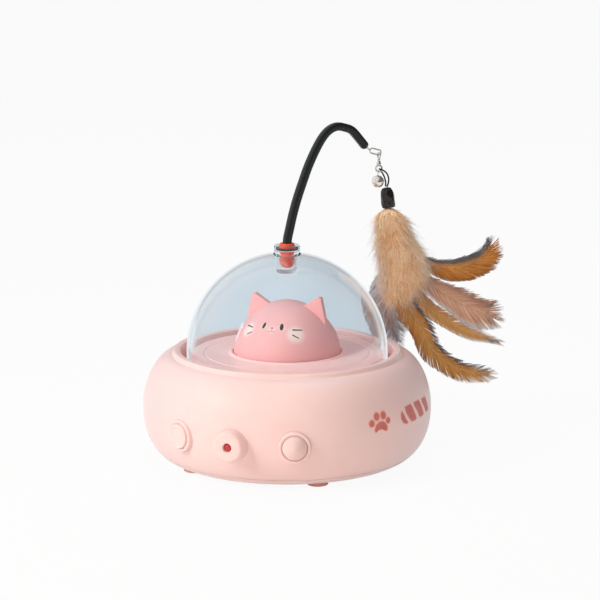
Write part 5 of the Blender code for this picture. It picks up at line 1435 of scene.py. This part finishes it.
feathers = {
    "feather_grey": {"width": 0.19, "turn": 10, "body": "bunch", "slot": "grey_feather",
        "route": [(0.0, -0.36, 0.04), (-0.015, -0.455, 0.10), (-0.01, -0.59, 0.18),
        (0.03, -0.735, 0.27), (0.08, -0.88, 0.35)], "widths": (0.45, 0.95, 1.0, 0.85, 0.22),
        "count": 460, "fray": 0.35, "material": featherMaterial("featherGrey", (196, 176, 176),
        (214, 220, 232), (226, 232, 242), (190, 186, 194), 0.20, 0.8, 0.4)},
    "feather_sickle": {"width": 0.150, "turn": -8, "slot": "gold_feather",
        "route": [(0.05, -0.36, -0.03), (0.10, -0.55, 0.0), (0.179, -0.695, 0.04),
        (0.265, -0.865, 0.07), (0.398, -0.98, 0.09), (0.54, -1.025, 0.10),
        (0.615, -1.035, 0.10)], "widths": (0.45, 1.0, 1.0, 0.9, 0.85, 0.70, 0.22), "count": 700,
        "fray": 0.26, "material": featherMaterial("featherSickle", (232, 172, 92),
        (126, 118, 120), (214, 150, 74), (150, 138, 136), 0.62, 0.86, 0.35)},
    "feather_slender": {"width": 0.105, "turn": 6, "slot": "amber_feather",
        "route": [(0.08, -0.36, 0.02), (0.14, -0.485, 0.02), (0.225, -0.585, 0.03),
        (0.34, -0.673, 0.03), (0.475, -0.752, 0.04), (0.666, -0.82, 0.04)],
        "widths": (0.45, 0.95, 1.0, 0.95, 0.85, 0.3), "count": 620, "fray": 0.28,
        "material": featherMaterial("featherSlender", (236, 184, 112), (224, 172, 116),
        (240, 206, 168), (160, 142, 146), 0.60, 0.80, 0.35)},
    "feather_broad": {"width": 0.200, "turn": -6, "slot": "russet_feather",
        "route": [(0.10, -0.33, -0.02), (0.207, -0.428, -0.02), (0.34, -0.515, -0.02),
        (0.456, -0.585, -0.02), (0.552, -0.624, -0.01), (0.618, -0.663, -0.01)],
        "widths": (0.25, 0.60, 0.95, 1.0, 0.75, 0.25), "count": 620, "fray": 0.28,
        "material": featherMaterial("featherBroad", (232, 186, 160), (222, 178, 160),
        (250, 246, 246), (140, 132, 138), 0.62, 0.88, 0.35)},
    "feather_curled": {"width": 0.165, "turn": 12, "slot": "brown_feather",
        "route": [(0.13, -0.285, 0.01), (0.265, -0.345, 0.01), (0.38, -0.36, 0.01),
        (0.494, -0.34, 0.02), (0.571, -0.29, 0.02), (0.604, -0.235, 0.02)],
        "widths": (0.35, 0.85, 1.0, 1.0, 0.8, 0.25), "count": 620, "fray": 0.26,
        "material": featherMaterial("featherCurled", (226, 156, 76), (134, 132, 136),
        (222, 150, 70), (190, 140, 84), 0.36, 0.96, 0.38)},
}


def wallFaces(rows, steps):
    # faces between rows of numbered points, each row a ring
    return [(row * steps + step, row * steps + (step + 1) % steps,
        (row + 1) * steps + (step + 1) % steps, (row + 1) * steps + step) for row in range(rows)
        for step in range(steps)]


def barbShape(side):
    # one barb, a unit long, that sweeps towards the feather's tip
    points, acrossValues = [], []
    segments = 5
    for step in range(segments + 1):
        share = step / segments
        width = 0.062 * (1 - 0.60 * share)
        for offset, lift in ((-width, 0), (width, 0), (0, width * 0.6)):
            points.append((side * share, 1.55 * share ** 1.15 + offset,
                -0.10 * share ** 2 + lift))
            acrossValues.append(0.01 + share)
    last = segments * 3
    faces = wallFaces(segments, 3)
    if side < 0:
        faces += [(0, 2, 1), (last, last + 1, last + 2)]
    else:
        faces = [face[::-1] for face in faces] + [(0, 1, 2), (last, last + 2, last + 1)]
    return pointsObject("barb", points, faces,
        attributes={"across": acrossValues, "side": [float(side)] * len(points)})


def makeVaneTree():
    # barbs stand on both sides of a tapered shaft that follows the host's line of edges
    tree, entry, leave = newGeometryTree("featherVane",
        {"Upper Barb": ("Object", None), "Lower Barb": ("Object", None),
        "Barb Count": ("Int", 300), "Fray": ("Float", 0.3), "Shaft Radius": ("Float", 0.0004),
        "Clump Scale": ("Float", 420.0), "Seed": ("Int", 1), "Material": ("Material", None)})
    curve = outOf(tree, "GeometryNodeMeshToCurve", {"Mesh": entry["Geometry"]})
    factor = addNode(tree, "GeometryNodeSplineParameter").outputs["Factor"]
    curve = storeValue(tree, curve, "along", factor)
    taper = times(tree, entry["Shaft Radius"], timesPlus(tree, factor, -0.85, 1.0))
    thin = outOf(tree, "GeometryNodeSetCurveRadius", {"Curve": curve, "Radius": taper})
    ring = outOf(tree, "GeometryNodeCurvePrimitiveCircle", {"Resolution": 8, "Radius": 1.0})
    shaft = addNode(tree, "GeometryNodeCurveToMesh",
        {"Curve": thin, "Profile Curve": ring, "Fill Caps": True})
    if "Scale" in shaft.inputs:
        fill(tree, shaft.inputs, {"Scale": outOf(tree, "GeometryNodeInputRadius")})
    parts = [storeValue(tree, shaft.outputs[0], "across", 0.0)]
    spots = addNode(tree, "GeometryNodeCurveToPoints",
        {"Curve": curve, "Count": entry["Barb Count"]}, mode="COUNT").outputs
    points = storeValue(tree, spots["Points"], "tone", randomFloat(tree, 0.0, 1.0, entry["Seed"]))
    points = storeValue(tree, points, "course", spots["Tangent"], "FLOAT_VECTOR")
    facing = outOf(tree, "FunctionNodeAxesToRotation",
        {"Primary Axis": namedValue(tree, "vaneNormal", "FLOAT_VECTOR"),
        "Secondary Axis": namedValue(tree, "course", "FLOAT_VECTOR")}, primary_axis="Z",
        secondary_axis="Y")
    along = namedValue(tree, "along")
    leastSweep = times(tree, namedValue(tree, "widest"), 0.55)
    for number, label in enumerate(("Upper Barb", "Lower Barb")):
        seed = mathNode(tree, "ADD", entry["Seed"], 11.0 * (number + 1))
        clump = minus(tree, noiseAt(tree, vectorOf(tree,
            times(tree, along, entry["Clump Scale"]), times(tree, seed, 7.3)), 0.05, 3.0, 0.7),
            0.5)
        splay = timesPlus(tree, clump, 0.10 if number else 0.5,
            randomFloat(tree, -0.03, 0.05, seed))
        lift = timesPlus(tree, clump, 0.5, randomFloat(tree, -0.12, 0.12, seed))
        turn = eulerTurn(tree, facing, vectorOf(tree, 0.0, lift, splay))
        ragged = timesPlus(tree, mathNode(tree, "POWER", along, 3.0), 1.6, 0.3 if number else 0.9)
        trim = minus(tree, 1.02, times(tree, times(tree, ragged, entry["Fray"]),
            randomFloat(tree, 0.0, 1.0, seed)))
        reach = times(tree, namedValue(tree, "halfWidth"), timesPlus(tree, clump, 0.15, trim))
        size = vectorOf(tree, reach, mathNode(tree, "MAXIMUM", reach, leastSweep), reach)
        parts.append(placeShapes(tree, points, entry[label], turn, size))
    return closeTree(tree, leave, joined(tree, parts), entry["Material"])


vaneTree = makeVaneTree()


def makeFeather(name, values, seed):
    length = bunchSettings["fanLength"]
    points = [fanPoint(bunchOrigin, side * length, rise * length, depth * length)
        for side, rise, depth in values["route"]]
    route = smoothRoute(points, 14)
    halves, normals = [], []
    widths = values["widths"]
    for place in range(len(route)):
        along = courseAt(route, place)
        wide = fanDepth.cross(along).normalized()
        wide = Matrix.Rotation(math.radians(values["turn"]), 3, along) @ wide
        normals.append(tuple(along.cross(wide)))
        share = place / (len(route) - 1) * (len(widths) - 1)
        first = min(int(share), len(widths) - 2)
        width = widths[first] + (widths[first + 1] - widths[first]) * (share - first)
        halves.append(width * values["width"] * length / 2)
    host = pointsObject(name + "Line", route,
        edges=[(place, place + 1) for place in range(len(route) - 1)],
        attributes={"halfWidth": halves, "vaneNormal": normals,
        "widest": [max(halves)] * len(route)})
    upper, lower = barbShape(1), barbShape(-1)
    feather = grow(host, vaneTree, {"Upper Barb": upper, "Lower Barb": lower,
        "Barb Count": values["count"], "Fray": values["fray"], "Shaft Radius": 0.00042,
        "Clump Scale": 900.0, "Seed": seed, "Material": values["material"]},
        name.replace("feather_", "plume_"))
    remove(upper, lower)
    dressPiece(feather, "bunch", [name])


for seed, (name, values) in enumerate(feathers.items(), 1):
    makeFeather(name, values, seed * 17)
print("feathers made")


fluffShares = [(0.002, -0.003, 0.030, 0.030), (0.006, -0.040, 0.078, 0.066),
    (0.020, -0.120, 0.098, 0.078), (0.050, -0.215, 0.120, 0.086), (0.080, -0.305, 0.146, 0.090),
    (0.090, -0.370, 0.150, 0.088), (0.072, -0.440, 0.116, 0.070), (0.052, -0.500, 0.070, 0.046),
    (0.044, -0.535, 0.024, 0.020)]
fluffSettings = {"core": 0.80, "strands": 7000, "length": 0.0088, "thick": 0.00016,
    "wisps": 1500, "wispLength": 0.0150, "steps": 40}


def strandShape(name, bend):
    # a soft hair, a unit long, with three sides
    points, acrossValues = [], []
    segments = 4
    for step in range(segments):
        share = step / segments
        for x, y in circleSection(3):
            points.append(((1 - share * 0.8) * x + bend * share ** 2, (1 - share * 0.8) * y,
                share))
            acrossValues.append(share)
    points.append((bend, 0, 1))
    acrossValues.append(1.0)
    last = (segments - 1) * 3
    faces = wallFaces(segments - 1, 3) + [
        (last + corner, last + (corner + 1) % 3, len(points) - 1) for corner in range(3)]
    return pointsObject(name, points, faces + [(2, 1, 0)], attributes={"across": acrossValues})


def makeDownTree():
    # hairs scattered over the host's faces, laid down along it and curled at random
    tree, entry, leave = newGeometryTree("downHair",
        {"Hair": ("Object", None), "Density": ("Float", 1.0), "Length": ("Float", 0.008),
        "Thickness": ("Float", 0.0002), "Droop": ("Float", 1.0), "Lift": ("Float", 0.5),
        "Wild": ("Float", 0.4), "Keep Core": ("Bool", True), "Seed": ("Int", 1),
        "Material": ("Material", None)})
    seed = entry["Seed"]
    spots = addNode(tree, "GeometryNodeDistributePointsOnFaces",
        {"Mesh": entry["Geometry"], "Seed": seed,
        "Density": times(tree, entry["Density"], namedValue(tree, "cover"))},
        distribute_method="RANDOM").outputs
    points = storeValue(tree, spots["Points"], "tone", randomFloat(tree, 0.0, 1.0, seed))

    def scaled(vector, amount):
        return outOf(tree, "ShaderNodeVectorMath", {0: vector, "Scale": amount},
            operation="SCALE")

    def summed(first, second):
        return outOf(tree, "ShaderNodeVectorMath", {0: first, 1: second}, operation="ADD")

    swirl = addNode(tree, "ShaderNodeTexNoise",
        {"Vector": outOf(tree, "GeometryNodeInputPosition"), "Scale": 130.0,
        "Detail": 2.0}).outputs["Color"]
    swirl = summed(swirl, (-0.5, -0.5, -0.5))
    wild = outOf(tree, "FunctionNodeRandomValue", {0: (-1, -1, -1), 1: (1, 1, 1), 8: seed},
        data_type="FLOAT_VECTOR")
    course = summed(scaled(spots["Normal"], entry["Lift"]),
        scaled(vectorOf(tree, 0.25, 0.1, -1.0), entry["Droop"]))
    course = summed(course, scaled(wild, entry["Wild"]))
    course = summed(course, scaled(swirl, times(tree, entry["Wild"], 4.0)))
    turn = outOf(tree, "FunctionNodeAlignRotationToVector", {"Vector": course}, axis="Z")
    turn = eulerTurn(tree, turn, vectorOf(tree, z=randomFloat(tree, 0.0, math.tau, seed)))
    length = times(tree, entry["Length"], randomFloat(tree, 0.6, 1.25, seed))
    size = vectorOf(tree, entry["Thickness"], entry["Thickness"], length)
    hairs = placeShapes(tree, points, entry["Hair"], turn, size)
    core = outOf(tree, "GeometryNodeSwitch",
        {"Switch": entry["Keep Core"], "True": entry["Geometry"]}, input_type="GEOMETRY")
    return closeTree(tree, leave, joined(tree, [hairs, core]), entry["Material"])


downTree = makeDownTree()


def fluffCore(name, share, cover):
    # the down's body from its table of rows, smoothed and closed at both ends
    length = bunchSettings["fanLength"]
    rows = smoothRoute([Vector((side, rise, half, depth))
        for side, rise, half, depth in fluffShares], 5)
    steps = fluffSettings["steps"]
    points, covers = [], []
    for number, (side, rise, half, depth) in enumerate(rows):
        for step, (x, y) in enumerate(circleSection(steps)):
            ripple = share * (1 + 0.07 * math.sin(5 * (math.tau * step / steps) + number / 5))
            points.append(fanPoint(bunchOrigin - upward * 0.0003,
                side * length + half * length * ripple * x, rise * length,
                depth * length * ripple * y))
            covers.append(cover(x))
    faces = wallFaces(len(rows) - 1, steps)
    faces.append(tuple(range(steps))[::-1])
    faces.append(tuple(range((len(rows) - 1) * steps, len(rows) * steps)))
    core = pointsObject(name, points, faces, attributes={"cover": covers})
    maker = bmesh.new()
    maker.from_mesh(core.data)
    bmesh.ops.recalc_face_normals(maker, faces=maker.faces)
    maker.to_mesh(core.data)
    maker.free()
    return core, sum(face.area for face in core.data.polygons)


def makeDownMaterial():
    # tan and gold with brown swirls, paler and cooler towards the tips of the hairs
    material, tree, surface = newMaterial("downTan")
    place = objectPlace(tree)
    across, tone = readValue(tree, "across"), readValue(tree, "tone")
    patch = spread(tree, noiseAt(tree, place, 95.0, 3.0, 0.6, 1.2), 0.40, 0.62)
    colour = mixColours(tree, patch, linear(255, 230, 196), linear(246, 206, 156))
    swirl = spread(tree, noiseAt(tree, place, 210.0, 4.0, 0.65, 2.5), 0.52, 0.68)
    for mask, amount, shade in ((swirl, 0.8, (190, 132, 78)),
            (spread(tree, across, 0.35, 1.0), 0.45, (255, 242, 220)),
            (spread(tree, tone, 0.6, 1.0), 0.55, (196, 142, 88))):
        colour = mixColours(tree, times(tree, mask, amount), colour, linear(*shade))
    # the emission is painted light, a glow that stands in for the light a thick tuft passes on
    # from hair to hair
    fill(tree, surface.inputs, {"Base Color": colour,
        "Roughness": timesPlus(tree, tone, 0.2, 0.6), "Emission Color": colour,
        "Emission Strength": 0.10, "Sheen Weight": 0.4, "Specular IOR Level": 0.2})
    return material


def makeWispMaterial():
    material, tree, surface = newMaterial("downPale")
    tone = readValue(tree, "tone")
    colour = mixColours(tree, tone, linear(246, 249, 254), linear(228, 235, 246))
    warm = spread(tree, noiseAt(tree, objectPlace(tree), 150.0, 2.0), 0.5, 0.62)
    fill(tree, surface.inputs, {"Base Color": mixColours(tree, times(tree, warm, 0.5), colour,
        linear(226, 204, 180)), "Roughness": timesPlus(tree, tone, 0.2, 0.55),
        "Sheen Weight": 0.3})
    return material


def makeDown(values):
    hair = strandShape("hair", 5.0)
    core, area = fluffCore("downCore", values["core"], lambda side: 1.0)
    down = grow(core, downTree, {"Hair": hair, "Density": values["strands"] / area,
        "Length": values["length"], "Thickness": values["thick"], "Droop": 1.0, "Lift": 0.55,
        "Wild": 0.35, "Keep Core": True, "Seed": 4, "Material": makeDownMaterial()}, "downTan")
    dressPiece(down, "bunch", ["feather_fluff"])
    core, area = fluffCore("wispCore", values["core"], lambda side: max(abs(side) - 0.72, 0) * 3)
    wisps = grow(core, downTree, {"Hair": hair, "Density": values["wisps"] / area * 2.4,
        "Length": values["wispLength"], "Thickness": 0.00011, "Droop": 1.0, "Lift": 0.50,
        "Wild": 0.30, "Keep Core": False, "Seed": 9, "Material": makeWispMaterial()}, "downWisps")
    dressPiece(wisps, "bunch")
    remove(hair)


makeDown(fluffSettings)
print("down made")


# Finishes of the CAD nodes that stay

nodeFinishes = {
    "plated_steel": "steel", "white_plastic": "white", "gear_plastic": "gear",
    "black_plastic": "black", "circuit_board": "board", "cell_wrap": "cell",
    "lead_sleeve": "lead", "shell_plastic": "shell",
}


def finishNodes():
    slots = {part["node"]: part["material_slot"] for part in frame["record"]["subparts"]}
    for name, node in frame["nodes"].items():
        if node.hide_render:
            continue
        finish = "can" if name in ("motor_can", "sensor_can") else nodeFinishes[slots[name]]
        for socket in node.material_slots:
            socket.material = finishes[finish]


finishNodes()
print("CAD nodes finished")


# Floor, world and lamps

studio = {"worldStrength": 0.36, "glassBack": linear(206, 221, 230), "floorMix": 0.93,
    "floorLevel": -0.0016, "room": (0.20, 0.20, 0.22, 1), "brightSide": (-0.66, -0.35, 0.66)}


def seenDirectly(tree):
    # 1 for rays that show the background itself, in the camera, in metal and in glass
    path = addNode(tree, "ShaderNodeLightPath").outputs
    first = mathNode(tree, "MAXIMUM", path["Is Camera Ray"], path["Is Glossy Ray"])
    return (mathNode(tree, "MAXIMUM", first, path["Is Transmission Ray"]),
        path["Is Transmission Ray"])


def makeWorld(values):
    world = bpy.data.worlds.new("studio")
    scene.world = world
    world.use_nodes = True
    tree = world.node_tree
    tree.nodes.clear()
    shown, through = seenDirectly(tree)
    colour = mixColours(tree, through, (1, 1, 1, 1), values["glassBack"])
    # shiny pieces see a bright side up and to the left and a darker room elsewhere
    side = addNode(tree, "ShaderNodeVectorMath",
        {0: addNode(tree, "ShaderNodeTexCoord").outputs["Generated"], 1: values["brightSide"]},
        operation="DOT_PRODUCT").outputs["Value"]
    room = mixColours(tree, spread(tree, side, 0.0, 0.75), values["room"], (1, 1, 1, 1))
    glossy = addNode(tree, "ShaderNodeLightPath").outputs["Is Glossy Ray"]
    colour = mixColours(tree, glossy, colour, room)
    light, back = [outOf(tree, "ShaderNodeBackground", {"Color": shade, "Strength": strength})
        for shade, strength in (((1.0, 0.985, 0.975, 1), values["worldStrength"]), (colour, 1.0))]
    tree.links.new(mixShaders(tree, shown, light, back),
        tree.nodes.new("ShaderNodeOutputWorld").inputs["Surface"])


def makeFloor(values):
    material, tree, surface = newMaterial("floorPale")
    fill(tree, surface.inputs, {"Base Color": (0.86, 0.86, 0.86, 1), "Roughness": 0.9,
        "Specular IOR Level": 0.0})
    shown, through = seenDirectly(tree)
    colour = mixColours(tree, through, (1, 1, 1, 1), values["glassBack"])
    glow = outOf(tree, "ShaderNodeEmission", {"Color": colour, "Strength": 1.0})
    showSurface(tree, mixShaders(tree, times(tree, shown, values["floorMix"]),
        surface.outputs[0], glow))
    maker = bmesh.new()
    bmesh.ops.create_circle(maker, cap_ends=True, radius=9, segments=96,
        matrix=Matrix.Translation((0, 0, values["floorLevel"])))
    floor = meshObject(maker, "floor", material)
    if floor.data.polygons[0].normal.z < 0:
        floor.data.flip_normals()


lamps = {
    "key": {"place": (-0.66, -0.86, 0.74), "size": 0.55, "power": 8.7,
        "colour": (1.0, 0.985, 0.96)},
    "fill": {"place": (0.9, -0.75, 0.35), "size": 0.9, "power": 0.35, "colour": (1.0, 0.93, 0.88)},
    "top": {"place": (0.05, 0.25, 1.2), "size": 0.8, "power": 3.0, "colour": (0.97, 0.98, 1.0)},
    "warmLow": {"place": (0.22, -0.8, 0.03), "size": 0.35, "power": 2.1,
        "colour": (1.0, 0.60, 0.30)},
    "streak": {"place": (-0.62, -0.72, 0.52), "size": 0.05, "tall": 0.34, "power": 0.35,
        "colour": (1.0, 1.0, 1.0), "gloss": True},
}


def makeLamps():
    for name, values in lamps.items():
        data = bpy.data.lights.new(name, "AREA")
        data.shape = "RECTANGLE" if "tall" in values else "DISK"
        data.size = values["size"]
        data.size_y = values.get("tall", values["size"])
        data.energy = values["power"]
        data.color = values["colour"]
        lamp = linkObject(name, data)
        lamp.visible_glossy = values.get("gloss", False)
        lamp.visible_transmission = False
        aim(lamp, Vector(values["place"]), Vector((0, 0, 0.05)))


makeWorld(studio)
makeFloor(studio)
makeLamps()
print("studio made")

bpy.context.view_layer.update()
